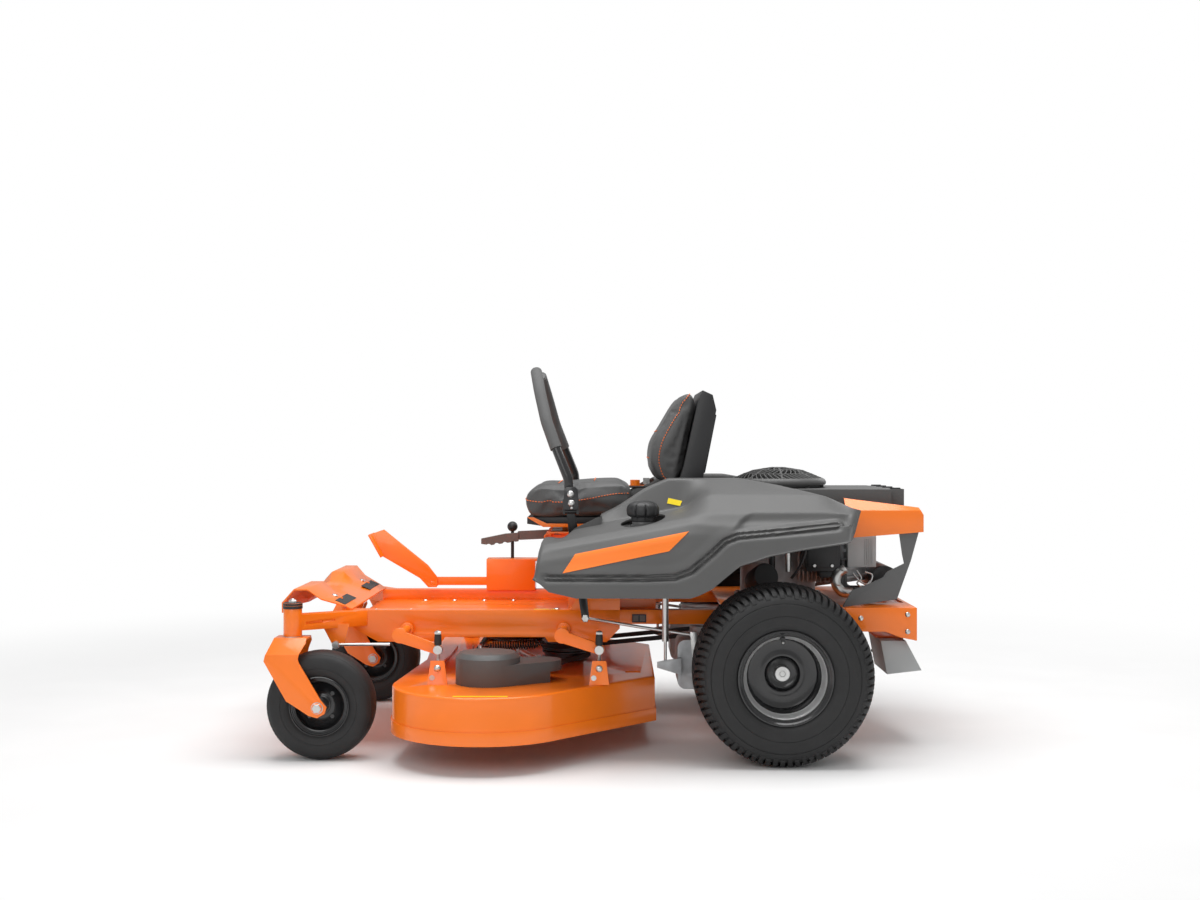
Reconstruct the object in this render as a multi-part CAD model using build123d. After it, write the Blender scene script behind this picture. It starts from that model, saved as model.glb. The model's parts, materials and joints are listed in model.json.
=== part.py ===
from build123d import *
import math
import os

# Zero turn mower, in millimetres. The mower drives towards -X, +Y is its right side, +Z is up,
# Z = 0 is the ground. Sub-parts are modelled about the vehicle's centre plane (Y = 0) and moved
# on export so that the origin is under the middle of the whole machine's footprint.

# ---- running clearances ----
RUN_GAP = 0.4
SEAT_GAP = 0.3

# ---- wheels ----
REAR_TYRE_R = 229
REAR_TYRE_W = 232
REAR_RIM_R = 121
REAR_AXLE_X = 468
REAR_TRACK = 950
AXLE_R = 16
CASTER_TYRE_R = 141
CASTER_TYRE_W = 100
CASTER_RIM_R = 75
CASTER_AXLE_R = 8
CASTER_TRACK = 890
CASTER_TRAIL = 76
SWIVEL_X = -803
SPINDLE_R = 12
CASTER_TUBE_R = 24

# ---- frame ----
RAIL_OUT = 300
RAIL_W = 38
RAIL_TOP = 371
RAIL_H = 38
RAIL_WALL = 3
RAIL_FRONT = -677
RAIL_REAR = 700
PLATE = 5
PAN_T = 4
SHAFT_R = 11
FRONT_SHAFT_X = -523
REAR_SHAFT_X = -100
LIFT_SHAFT_Z = 320
BUMPER_X = 851

# ---- deck ----
DECK_BOTTOM = 77
DECK_TOP = 196
DECK_WALL = 5
DECK_RADIUS = 244
SIDE_SPINDLE_X = -298
SIDE_SPINDLE_Y = 436
MID_SPINDLE_X = -105
BLADE_R = 229
BLADE_Z = 98
PULLEY_R = 62
BELT_W = 10
BELT_H = 12
BELT_GROOVE = 6.5
DRIVE_GROOVE = 10.5
IDLER_R = 32
IDLER_PIVOT_X = -230
IDLER_PIVOT_Y = -60
DECK_BELT_Z = 212
DRIVE_BELT_Z = 240
HANGER_Y = 460
NUT_R = 7.5
LIFT_ARM_REACH = 97
LIFT_ARM_DROP = 35
CHUTE_REACH = 255

# ---- engine and body ----
CRANK_X = 509
CRANK_R = 12.5
PLATE_TOP = RAIL_TOP + 7
SHROUD_TOP = 694
FENDER_IN = 250
FENDER_OUT = 560
FENDER_WALL = 5
SHELF_IN = 362
SHELF_REAR = 215
SLOT_OUT = 385
FUEL_X = 111
FUEL_Y = 440
FUEL_FLOOR = 602
TANK_TOP = 568
CLUTCH_LOW = 320
CRANK_BELT_Z = 300

# ---- controls and seat ----
CONSOLE_Z = 690
SWITCH_Y = 300
PTO_X = 100
PTO_STEM_R = 7
KEY_X = 135
KEY_STEM_R = 6
ARM_PIVOT_X = -60
ARM_PIVOT_Z = 505
ARM_Y = 351
ARM_PIN_X = -41
ARM_PIN_Z = 354
BAR_HINGE_X = -80
BAR_HINGE_Z = 640
BAR_R = 12.5
GRIP_R = 16
PUMP_X = 262
PUMP_Z = 200
PUMP_LEVER = 109
DAMPER_X = 172
DAMPER_Y = 358
SEAT_HINGE_X = -150
SEAT_PLATE_Z = 571
SHELL_TOP = 617
SEAT_HALF_W = 238
LEVER_Y = 262
KNOB_Y = 300


def side_profile(points, y_low, y_high):
    """Solid whose outline is given as (x, z) points, between two Y values."""
    face = Plane.XZ.offset(-y_high) * Polygon(*points, align=None)
    solid = extrude(face, amount=y_high - y_low)
    if solid.bounding_box().max.Y > y_high + 1e-6:
        solid = Pos(0, y_low - y_high, 0) * solid
    return solid


def front_profile(points, x_low, x_high):
    """Solid whose outline is given as (y, z) points, between two X values."""
    face = Plane.YZ.offset(x_low) * Polygon(*points, align=None)
    solid = extrude(face, amount=x_high - x_low)
    if solid.bounding_box().min.X < x_low - 1e-6:
        solid = Pos(x_high - x_low, 0, 0) * solid
    return solid


def plan_profile(points, z_low, z_high):
    """Solid whose outline is given as (x, y) points, between two Z values."""
    face = Plane.XY.offset(z_low) * Polygon(*points, align=None)
    solid = extrude(face, amount=z_high - z_low)
    if solid.bounding_box().min.Z < z_low - 1e-6:
        solid = Pos(0, 0, z_high - z_low) * solid
    return solid


def block(x_low, x_high, y_low, y_high, z_low, z_high):
    """Box between two corners."""
    size = (x_high - x_low, y_high - y_low, z_high - z_low)
    return Pos(x_low, y_low, z_low) * Box(*size, align=(Align.MIN, Align.MIN, Align.MIN))


def rod(start, end, radius):
    """Round bar between two points."""
    origin = Vector(*start)
    along = Vector(*end) - origin
    return extrude(Plane(origin=origin, z_dir=along) * Circle(radius), amount=along.length)


def upright(x, y, z_low, z_high, radius):
    """Round bar along Z."""
    return rod((x, y, z_low), (x, y, z_high), radius)


def crossbar(x, z, y_low, y_high, radius):
    """Round bar along Y."""
    return rod((x, y_low, z), (x, y_high, z), radius)


def wheel_ring(points):
    """Solid of revolution about Y, from (radius, y) points."""
    return revolve(Polygon(*points, align=None), Axis.Y)


def mirrored(solid):
    """The same piece on the right side."""
    return mirror(solid, about=Plane.XZ)


def joined(*solids):
    """Overlapping pieces welded into one solid."""
    whole = solids[0]
    for solid in solids[1:]:
        whole = whole + solid
    return whole


def group(*solids):
    """Separate solids that share one node."""
    return Compound(children=[body for solid in solids for body in solid.solids()])


# ---------------------------------------------------------------- wheels

def rear_tyre():
    """Hollow rear tyre about the origin, axis along Y."""
    half = REAR_TYRE_W / 2
    bead = REAR_RIM_R - 16
    tread = REAR_TYRE_R
    outer = [
        (bead, -half + 17), (REAR_RIM_R + 2, -half + 16.5), (REAR_RIM_R + 14, -half + 7),
        (bead + 58, -half), (tread - 28, -half + 5), (tread - 7, -half + 22), (tread, -half + 58),
    ]
    inner = [
        (bead, half - 32), (bead + 20, half - 20), (bead + 58, half - 11), (tread - 34, half - 16),
        (tread - 17, half - 32), (tread - 12, half - 62),
    ]
    outer += [(radius, -y) for radius, y in reversed(outer)]
    inner += [(radius, -y) for radius, y in reversed(inner)]
    return wheel_ring(outer + inner)


def rear_rim():
    """Left rear rim with its hub, hub nut and axle shaft, outer face towards -Y."""
    half = REAR_TYRE_W / 2 - 12
    seat = REAR_RIM_R - 16 - SEAT_GAP
    barrel = wheel_ring([
        (REAR_RIM_R, -half), (REAR_RIM_R, -half + 4), (seat, -half + 4), (seat, half - 4),
        (REAR_RIM_R, half - 4), (REAR_RIM_R, half), (seat + 2, half), (seat - 4, half - 7),
        (seat - 4, -half + 7), (seat + 2, -half),
    ])
    disc = wheel_ring([
        (0, -20), (34, -20), (46, -12), (78, -12), (seat - 2, -34), (seat - 2, -28),
        (80, -6), (44, -6), (34, -6), (0, -6),
    ])
    hub = crossbar(0, 0, -26, 70, 32)
    nut = crossbar(0, 0, -34, -26, 20)
    shaft = crossbar(0, 0, 70, 200, AXLE_R)
    return barrel + disc + hub + nut + shaft


def caster_tyre():
    """Smooth hollow caster tyre about the origin, axis along Y."""
    half = CASTER_TYRE_W / 2
    bead = CASTER_RIM_R - 11
    tread = CASTER_TYRE_R
    outer = [
        (bead, -half + 11.5), (CASTER_RIM_R + 1, -half + 11.5), (bead + 18, -half + 5),
        (bead + 40, -half), (tread - 18, -half + 4),
        (tread - 6, -half + 14), (tread, -half + 32),
    ]
    inner = [
        (bead, half - 20), (bead + 16, half - 12), (bead + 40, half - 9), (tread - 24, half - 14),
        (tread - 11, half - 30),
    ]
    outer += [(radius, -y) for radius, y in reversed(outer)]
    inner += [(radius, -y) for radius, y in reversed(inner)]
    return wheel_ring(outer + inner)


def fork_gap():
    """Half the clear width between the two fork legs."""
    return CASTER_TYRE_W / 2 + 9


def caster_rim():
    """Caster rim with its hub, bored for the axle bolt."""
    half = CASTER_TYRE_W / 2 - 7
    seat = CASTER_RIM_R - 11 - SEAT_GAP
    barrel = wheel_ring([
        (CASTER_RIM_R, -half), (CASTER_RIM_R, -half + 4), (seat, -half + 4), (seat, half - 4),
        (CASTER_RIM_R, half - 4), (CASTER_RIM_R, half), (seat + 2, half), (seat - 3, half - 6),
        (seat - 3, -half + 6), (seat + 2, -half),
    ])
    disc = wheel_ring([(20, -8), (44, -8), (seat - 2, -20), (seat - 2, -15), (46, -3), (20, -3)])
    disc += mirror(disc, about=Plane.XZ)
    hub = crossbar(0, 0, RUN_GAP - fork_gap(), fork_gap() - RUN_GAP, 21)
    return barrel + disc + hub - crossbar(0, 0, -70, 70, CASTER_AXLE_R + RUN_GAP)


def caster_fork():
    """Caster fork bent from plate, with spindle, axle bolt and dust cap, spindle axis at X = Y = 0."""
    plate = 6
    top = RAIL_TOP - 54
    inside = fork_gap()
    outside = inside + plate
    shoulder = top - 39
    outline = side_profile([
        (-43, top - 2), (-59, top - 43), (-62, top - 56), (-53, top - 72), (-4, top - 159),
        (8, top - 166), (54, CASTER_TYRE_R - 20), (76, CASTER_TYRE_R - 26), (95, CASTER_TYRE_R - 15),
        (100, CASTER_TYRE_R + 2), (85, CASTER_TYRE_R + 20), (29, top - 61), (26, top - 51),
        (29, top - 38), (42, top - 13), (42, top), (-43, top),
    ], -outside, outside)
    channel = front_profile([
        (-outside, 90), (-outside, shoulder), (-30, top), (30, top), (outside, shoulder),
        (outside, 90), (inside, 90), (inside, shoulder - 2), (27, top - plate), (-27, top - plate),
        (-inside, shoulder - 2), (-inside, 90),
    ], -70, 110)
    spindle = upright(0, 0, top - plate, RAIL_TOP + 34, SPINDLE_R)
    washer = upright(0, 0, top, top + 1.6, CASTER_TUBE_R)
    axle = crossbar(CASTER_TRAIL, CASTER_TYRE_R, -outside - 8, outside + 8, CASTER_AXLE_R)
    heads = crossbar(CASTER_TRAIL, CASTER_TYRE_R, -outside - 9, -outside, 13)
    heads += crossbar(CASTER_TRAIL, CASTER_TYRE_R, outside, outside + 9, 13)
    cap = upright(0, 0, RAIL_TOP + 19 + RUN_GAP, RAIL_TOP + 34, CASTER_TUBE_R + 1)
    nut = upright(0, 0, RAIL_TOP + 34, RAIL_TOP + 41, 9)
    return (outline & channel) + spindle + washer + axle + heads + cap + nut


# ---------------------------------------------------------------- frame

def rail_side_plate():
    """Deep outer plate of the left rail."""
    low = RAIL_TOP - 86
    return side_profile([
        (RAIL_FRONT, RAIL_TOP), (RAIL_FRONT, RAIL_TOP - 43), (-640, RAIL_TOP - 66), (-602, low),
        (-430, low), (-421, low + 13), (-151, low + 13), (-142, low), (16, low), (51, RAIL_TOP - 49),
        (51, RAIL_TOP),
    ], -RAIL_OUT - PLATE, -RAIL_OUT)


def frame_side():
    """Left rail with its side plate, caster arm, caster tube and gusset, as welded."""
    inner = RAIL_OUT - RAIL_W
    low = RAIL_TOP - RAIL_H
    rail = block(RAIL_FRONT, RAIL_REAR, -RAIL_OUT, -inner, low, RAIL_TOP)
    rail -= block(
        RAIL_FRONT, RAIL_REAR, -RAIL_OUT + RAIL_WALL, -inner - RAIL_WALL,
        low + RAIL_WALL, RAIL_TOP - RAIL_WALL,
    )
    centre = CASTER_TRACK / 2
    tube_top = RAIL_TOP + 19
    start = Vector(SWIVEL_X, -centre, RAIL_TOP - 17)
    along = Vector(RAIL_FRONT + 32, -RAIL_OUT + 8, RAIL_TOP - 22) - start
    arm = extrude(Plane(origin=start, z_dir=along, x_dir=(0, 0, 1)) * Rectangle(41, 41),
                  amount=along.length)
    arm -= block(-700, -500, -inner, -100, 0, 500)
    tube = upright(SWIVEL_X, -centre, RAIL_TOP - 52, tube_top, CASTER_TUBE_R)
    gusset = side_profile([
        (-742, RAIL_TOP - 30), (-668, RAIL_TOP - 30), (-682, RAIL_TOP - 88), (-712, RAIL_TOP - 88),
    ], -372, -366)
    frame = rail + rail_side_plate() + arm + tube + gusset
    frame -= upright(SWIVEL_X, -centre, 0, 500, SPINDLE_R + RUN_GAP)
    for shaft_x in (FRONT_SHAFT_X, REAR_SHAFT_X):
        frame -= crossbar(shaft_x, LIFT_SHAFT_Z, -RAIL_OUT - 20, -inner + 20, SHAFT_R + RUN_GAP)
    for hole_x, hole_y in ((-740, -410), (-712, -386)):
        frame -= rod((hole_x - 30, hole_y - 30, 352), (hole_x + 8, hole_y + 8, 352), 4)
    return frame


def foot_guard():
    """Folded front cover with two humps over the caster arms and a lower middle."""
    sheet = 4
    ridge = [(-845, 372), (-845, 399), (-813, 435), (-778, 435), (-747, 407), (-691, 383), (-677, 375)]
    valley = [(-833, 372), (-833, 385), (-812, 410), (-778, 410), (-747, 399), (-691, 381), (-677, 375)]

    def section(y, line):
        inner = [(x + sheet * (0.9 if index < 2 else 0.2), z - sheet) for index, (x, z) in enumerate(line)]
        inner[0] = (line[0][0] + sheet, line[0][1])
        outline = line + [(line[-1][0], line[-1][1] - sheet)] + inner[-2::-1]
        return Plane.XZ.offset(-y) * Polygon(*outline, align=None)

    stations = [(-386, ridge), (-155, ridge), (-110, valley), (110, valley), (155, ridge), (386, ridge)]
    shell = loft([section(y, line) for y, line in stations], ruled=True)
    plan = plan_profile([
        (-850, -386), (-778, -386), (-745, -356), (-690, -306), (-677, -RAIL_OUT), (-670, -RAIL_OUT),
        (-670, RAIL_OUT), (-677, RAIL_OUT), (-690, 306), (-745, 356), (-778, 386), (-850, 386),
    ], 360, 440)
    bolts = [upright(-720, y, 386, 398, 8) for y in (-225, 225)]
    guard = shell & plan
    for bolt in bolts:
        guard += bolt
    foot = block(-700, -672, -RAIL_OUT, RAIL_OUT, RAIL_TOP, RAIL_TOP + 4)
    return guard + foot


def floor_pan():
    """Foot pan, seat box, lever console and pedal bracket, welded between the rails."""
    inner = RAIL_OUT - RAIL_W
    pan = block(RAIL_FRONT, 150, -inner, inner, RAIL_TOP - 34, RAIL_TOP - 34 + PAN_T)
    dimples = (-541, -452, -361, -272, -181)
    for x in dimples:
        for y in (-190, -95, 0, 95, 190):
            pan += Pos(x, y, RAIL_TOP - 30) * Cone(11, 6, 3)
    box_top = SEAT_PLATE_Z - 8
    box = block(-90, 150, -240, 240, RAIL_TOP - 34, box_top)
    box -= block(-86, 160, -236, 236, RAIL_TOP - 30, box_top - 4)
    box -= block(-40, 110, -190, 190, box_top - 10, box_top + 10)
    hinge_outline = [
        (-90, box_top - 26), (-90, box_top), (SEAT_HINGE_X + 4, SEAT_PLATE_Z - 6),
        (SEAT_HINGE_X - 4, SEAT_PLATE_Z - 12),
    ]
    hinge_arms = [side_profile(hinge_outline, y, y + 6) for y in (-140, 134)]
    hinge_tube = crossbar(SEAT_HINGE_X, SEAT_PLATE_Z - 12, -140, 140, 6)
    side_flange = side_profile([(-84, RAIL_TOP), (51, RAIL_TOP), (51, 412), (-60, 412)], -304, -300)
    side_flange += block(-84, 51, -300, -240, RAIL_TOP, RAIL_TOP + 4)
    pins = crossbar(ARM_PIVOT_X, ARM_PIVOT_Z, -ARM_Y - 6, -240, 10)
    pins += crossbar(ARM_PIVOT_X, ARM_PIVOT_Z, -260, -240, 26)
    fender_mount = block(60, 140, -FENDER_IN + SEAT_GAP, -240, 440, 540)
    console = block(-356, -207, 244, 318, RAIL_TOP, 460)
    console += block(-356, -177, 244, 318, 460, 466)
    console -= block(-352, -211, 248, 314, RAIL_TOP + 4, 456)
    console -= block(-322, -238, KNOB_Y - 7, KNOB_Y + 7, 450, 470)
    console += crossbar(-280, 400, 244, 318, 6)
    pedal_bar = block(-510, -356, 246, 254, RAIL_TOP + 15, RAIL_TOP + 40)
    pedal_bar += crossbar(-520, 392, 238, 254, 7)
    pedal_bar += block(-524, -505, 246, 254, RAIL_TOP + 13, RAIL_TOP + 32)
    lever_post = block(-112, -84, 240, 252, 400, 540) + crossbar(-104, 545, 230, LEVER_Y + 8, 9)
    lever_post += block(-112, -90, 230, 252, 520, 540)
    return joined(
        pan, box, *hinge_arms, hinge_tube, side_flange, mirrored(side_flange), pins, mirrored(pins),
        fender_mount, mirrored(fender_mount), console, pedal_bar, lever_post,
    )


def rear_frame():
    """Engine plate, rear side plates, bumper plate and hitch plate, as welded."""
    top = PLATE_TOP
    plate = block(330, BUMPER_X, -RAIL_OUT, RAIL_OUT, RAIL_TOP, top)
    plate -= block(720, BUMPER_X - 10, -173, 173, 0, 500)
    plate -= upright(CRANK_X, 0, 300, 400, 40)
    side = side_profile([
        (659, top), (BUMPER_X, top), (BUMPER_X, 290), (807, 298), (767, 314), (705, 314), (659, 332),
    ], -RAIL_OUT - 6, -RAIL_OUT)
    bumper = block(BUMPER_X - 6, BUMPER_X, -RAIL_OUT - 6, RAIL_OUT + 6, 290, top)
    hitch = block(759, BUMPER_X + 22, -45, 45, 284, 290) + block(759, 840, -200, -45, 284, 290)
    hitch -= upright(BUMPER_X + 10, 0, 270, 300, 8)
    frame = plate + side + mirrored(side) + bumper + hitch
    for y in (-120, 120):
        frame -= rod((BUMPER_X - 20, y, 334), (BUMPER_X + 20, y, 334), 5.5)
    return frame


def rear_panels():
    """Upper rear hood, its two guard plates and the lower rear deflector, as separate pieces."""
    side = [(659, 565), (BUMPER_X + 19, 582), (BUMPER_X + 19, 628), (BUMPER_X + 7, 648), (661, 672)]
    section = [(-RAIL_OUT, 560), (-RAIL_OUT, 640), (-262, 675), (262, 675), (RAIL_OUT, 640), (RAIL_OUT, 560)]
    hood = side_profile(side, -RAIL_OUT, RAIL_OUT) & front_profile(section, 600, 900)
    inside = [(y * (1 - 4 / RAIL_OUT), z - 4) for y, z in section]
    inside[0] = (inside[0][0], 500)
    inside[-1] = (inside[-1][0], 500)
    hood -= front_profile(inside, 600, BUMPER_X + 15)
    hood -= block(600, BUMPER_X - 6, -240, 240, 500, 700)
    guard = side_profile([
        (803, 590), (860, 590), (837, 506), (799, 400), (651, PLATE_TOP), (678, 425), (710, 436),
        (762, 459), (772, 474), (818, 497), (813, 520),
    ], -RAIL_OUT + 4, -RAIL_OUT + 8)
    deflector = side_profile([(762, 283.6), (830, 283.6), (873, 203), (779, 192)], -260, -60)
    deflector -= side_profile([(768, 277), (824, 277), (862, 210), (786, 200)], -256, -64)
    return group(hood, guard, mirrored(guard), deflector)


# ---------------------------------------------------------------- fenders and tank

def fender_body(inset):
    """Outer form of the left fender, or its cavity when inset."""
    out = FENDER_OUT - inset
    outline = [
        (-169 + inset, 480), (-155 + inset, 572 - inset), (-60, 602 - inset), (40, 648 - inset),
        (120, 700 - inset), (180, 727 - inset), (373, 727 - inset), (588, 683 - inset),
        (655 - inset, 653 - inset), (634 - inset, 572 - inset), (430, 537 + inset), (354, 511 + inset),
        (316, 476 + inset), (283, 450 + inset), (228, 429), (-60, 429), (-130, 445),
    ]
    if inset:
        outline = outline[:10] + [(430, 537), (354, 505), (310, 476), (283, 440), (228, 380), (-60, 380)]
        outline += [(-130, 400)]
    section = [
        (-FENDER_IN - inset, 300), (-FENDER_IN - inset, 727 - inset), (-345, 727 - inset),
        (-440, 688 - inset), (-515, 640 - inset), (-out + 6, 590 - inset), (-out, 520), (-out, 300),
    ]
    body = side_profile(outline, -out, -FENDER_IN - inset) & front_profile(section, -200, 700)
    shelf = side_profile([
        (-200, 562 - inset), (SHELF_REAR + inset, 641 - inset), (SHELF_REAR + 77 + inset, 730 - inset),
        (SHELF_REAR + 77 + inset, 900), (-200, 900),
    ], -FENDER_OUT - 40, inset - SHELF_IN)
    body -= shelf
    return body - block(-300, inset, -SLOT_OUT - inset, -200, 300, 800)


def fender():
    """Moulded left fender: a thin shell over the rear wheel, with the recess for the fuel cap."""
    recess = upright(FUEL_X, -FUEL_Y, FUEL_FLOOR + FENDER_WALL, 760, 58)
    pocket = upright(FUEL_X, -FUEL_Y, FUEL_FLOOR, 760, 58 + FENDER_WALL)
    shell = fender_body(0) - fender_body(FENDER_WALL)
    shell += pocket & fender_body(0)
    shell -= recess
    shell -= upright(FUEL_X, -FUEL_Y, 500, 700, 28 + RUN_GAP)
    return shell


def right_fender():
    """Right fender with a recessed control console in place of the fuel cap."""
    body = mirrored(fender_body(0))
    shell = body - mirrored(fender_body(FENDER_WALL))
    tray = block(75, 160, FENDER_IN, 345, CONSOLE_Z - FENDER_WALL, 760)
    pocket = block(80, 155, FENDER_IN + FENDER_WALL, 340, CONSOLE_Z, 760)
    shell += tray & body
    shell -= pocket
    shell -= upright(PTO_X, SWITCH_Y, 660, 760, PTO_STEM_R + RUN_GAP)
    return shell - upright(KEY_X, SWITCH_Y, 660, 760, KEY_STEM_R + RUN_GAP)


def fuel_tank():
    """Blow-moulded tank under the left fender, with its filler neck."""
    tank = block(10, 226, -528, -400, 445, TANK_TOP)
    tank = fillet(tank.edges().filter_by(Axis.Z), 18)
    tank -= upright(FUEL_X, -FUEL_Y, TANK_TOP - 28, TANK_TOP + 12, 22)
    neck = upright(FUEL_X, -FUEL_Y, TANK_TOP, FUEL_FLOOR + 16, 28)
    neck -= upright(FUEL_X, -FUEL_Y, TANK_TOP - 28, FUEL_FLOOR + 20, 22)
    return tank + neck


def fuel_cap():
    """Screw cap with finger notches and a plug inside the neck."""
    cap = upright(FUEL_X, -FUEL_Y, FUEL_FLOOR + 16 + RUN_GAP, 672, 39)
    cap = fillet(cap.edges().group_by(Axis.Z)[-1], 6)
    for step in range(12):
        angle = math.radians(30 * step)
        x = FUEL_X + 41 * math.cos(angle)
        y = -FUEL_Y + 41 * math.sin(angle)
        cap -= upright(x, y, 600, 700, 4)
    return cap + upright(FUEL_X, -FUEL_Y, FUEL_FLOOR, 640, 22 - RUN_GAP)


def battery():
    """Starter battery with its two posts, standing on the pan inside the seat box."""
    case = block(-60, 110, -65, 65, RAIL_TOP - 30, 500)
    posts = [upright(x, -45, 500, 515, 8) for x in (-40, 90)]
    return case + posts[0] + posts[1]


# ---------------------------------------------------------------- engine and drive

def engine_block():
    """Crankcase, two finned cylinders in a V, their heads and the exhaust, as separate castings."""
    base = upright(CRANK_X, 0, PLATE_TOP, PLATE_TOP + 12, 125)
    case = base + upright(CRANK_X, 0, PLATE_TOP + 12, 585, 108)
    case -= upright(CRANK_X, 0, 300, 620, CRANK_R + RUN_GAP)
    pieces = []
    for side in (-1, 1):
        turn = Pos(CRANK_X, 0, 0) * Rot(0, 0, side * 38)
        barrel = Pos(150, 0, 500) * Box(110, 96, 110)
        for index in range(7):
            barrel += Pos(112 + 14 * index, 0, 500) * Box(4, 134, 134)
        case += turn * barrel
        head = Pos(228, 0, 500) * Box(44, 130, 128)
        for index in range(5):
            head += Pos(254, 0, 450 + 25 * index) * Box(10, 118, 8)
        pieces.append(turn * head)
    pieces.append(exhaust_pipe() - pieces[0])
    return group(case, *pieces)


def exhaust_pipe():
    """Muffler low at the rear of the engine, with its bent inlet pipe."""
    muffler = crossbar(793, 438, -150, 150, 40)
    route = FilletPolyline((662, -215, 500), (662, -215, 416), (793, -215, 416), (793, -140, 438), radius=26)
    pipe = sweep(Plane(origin=route @ 0, z_dir=route % 0) * Circle(14), path=route)
    return muffler + pipe


def engine_shroud():
    """Blower shroud over the engine, and the domed intake screen on top of it."""
    low = 640
    sheet = 4
    outer = joined(
        upright(CRANK_X, 0, low, SHROUD_TOP, 178),
        block(CRANK_X, 842, -170, 170, low, SHROUD_TOP),
        block(CRANK_X, 800, -205, 205, low, SHROUD_TOP),
        upright(CRANK_X, 0, 585, low + sheet, 108),
    )
    inner = joined(
        upright(CRANK_X, 0, low + sheet, SHROUD_TOP - sheet, 178 - sheet),
        block(CRANK_X, 842 - sheet, -170 + sheet, 170 - sheet, low + sheet, SHROUD_TOP - sheet),
        block(CRANK_X, 800 - sheet, -205 + sheet, 205 - sheet, low + sheet, SHROUD_TOP - sheet),
        upright(CRANK_X, 0, 580, SHROUD_TOP + 1, 100),
    )
    screen = upright(CRANK_X, 0, SHROUD_TOP, 746, 135)
    screen = fillet(screen.edges().group_by(Axis.Z)[-1], 20)
    screen -= upright(CRANK_X, 0, SHROUD_TOP - 1, 740, 124)
    for step in range(24):
        screen -= Pos(CRANK_X, 0, 0) * Rot(0, 0, 15 * step) * block(50, 112, -5, 5, 730, 760)
    return group(outer - inner, screen)


def crankshaft():
    """Vertical crankshaft with flywheel, blade clutch and belt pulley."""
    shaft = upright(CRANK_X, 0, CRANK_BELT_Z - 20, 636, CRANK_R)
    flywheel = upright(CRANK_X, 0, 592, 630, 92)
    clutch = upright(CRANK_X, 0, CLUTCH_LOW, RAIL_TOP - 5, 58)
    return joined(shaft, flywheel, clutch, pulley(CRANK_X, 0, CRANK_BELT_Z, DRIVE_GROOVE))


def pulley(x, y, z, groove):
    """Pulley with a groove of the given half height about z."""
    body = upright(x, y, z - groove - 3.5, z - groove, PULLEY_R + 6)
    body += upright(x, y, z - groove, z + groove, PULLEY_R)
    return body + upright(x, y, z + groove, z + groove + 3.5, PULLEY_R + 6)


def drive_belt():
    """Belt from the engine down to the middle spindle: two half loops and two straight runs."""
    inner = PULLEY_R + RUN_GAP
    outer = inner + BELT_W
    half = BELT_H / 2
    loops = []
    for x, z, away in ((MID_SPINDLE_X, DRIVE_BELT_Z, -1), (CRANK_X, CRANK_BELT_Z, 1)):
        ring = upright(x, 0, z - half, z + half, outer) - upright(x, 0, z - half, z + half, inner)
        far = x + away * (outer + 1)
        loops.append(ring & block(min(x, far), max(x, far), -outer - 1, outer + 1, z - half, z + half))
    run = side_profile([
        (MID_SPINDLE_X, DRIVE_BELT_Z - half), (CRANK_X, CRANK_BELT_Z - half),
        (CRANK_X, CRANK_BELT_Z + half), (MID_SPINDLE_X, DRIVE_BELT_Z + half),
    ], -outer, -inner)
    return joined(loops[0], run, loops[1], mirrored(run))


def belt_loop(centres, z):
    """Flat loop of belt around pulleys at the given (x, y) centres."""
    inner_r = PULLEY_R + RUN_GAP
    outer = [Pos(x, y) * Circle(inner_r + BELT_W) for x, y in centres]
    inner = [Pos(x, y) * Circle(inner_r) for x, y in centres]
    outer_edges = [edge for circle in outer for edge in circle.edges()]
    inner_edges = [edge for circle in inner for edge in circle.edges()]
    band = extrude(Plane.XY.offset(z - BELT_H / 2) * make_hull(outer_edges), amount=BELT_H)
    return band - extrude(Plane.XY.offset(z - BELT_H) * make_hull(inner_edges), amount=2 * BELT_H)


def transaxle():
    """Left drive unit: casting, axle housing, input pulley with fan, mount and damper bracket."""
    case = block(205, 520, -344.6, -190, 165, 296)
    case = fillet(case.edges().filter_by(Axis.Y), 22)
    case += crossbar(REAR_AXLE_X, REAR_TYRE_R, -383, -330, 46)
    case += upright(300, -255, 296, 308, 34)
    case += upright(300, -255, 308, 326, 58)
    case += block(370, 430, -RAIL_OUT, -RAIL_OUT + RAIL_W, 290, RAIL_TOP - RAIL_H)
    case += crossbar(PUMP_X, PUMP_Z, -352, -340, 9)
    bracket = side_profile([(150, 225), (150, 240), (180, 246), (215, 250), (215, 205)], -366, -361)
    bracket += block(205, 215, -361, -340, 205, 250)
    case += bracket + crossbar(DAMPER_X, 232, -361, -350, 6)
    shaft_hole = crossbar(REAR_AXLE_X, REAR_TYRE_R, -400, -260, AXLE_R + RUN_GAP)
    return case - shaft_hole


def pump_lever():
    """Lever on the outside of the left drive unit."""
    plate = side_profile([
        (PUMP_X - 13, PUMP_Z), (PUMP_X + 13, PUMP_Z), (PUMP_X - 6, PUMP_Z + PUMP_LEVER + 9),
        (PUMP_X - 24, PUMP_Z + PUMP_LEVER + 9),
    ], -351, -345)
    plate += crossbar(PUMP_X, PUMP_Z, -351, -345, 15)
    return plate - crossbar(PUMP_X, PUMP_Z, -360, -330, 9 + RUN_GAP)


def damper():
    """Left control damper: tube over its piston rod, which stands on the drive unit's bracket."""
    tube = upright(DAMPER_X, -DAMPER_Y, 294, 409, 9)
    tube -= upright(DAMPER_X, -DAMPER_Y, 290, 395, 4 + RUN_GAP)
    return tube + upright(DAMPER_X, -DAMPER_Y, 409, 424, 6)


def damper_rod():
    """Piston rod of the left damper, fixed to the drive unit."""
    return upright(DAMPER_X, -DAMPER_Y, 232, 372, 4)


# ---------------------------------------------------------------- controls

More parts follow.
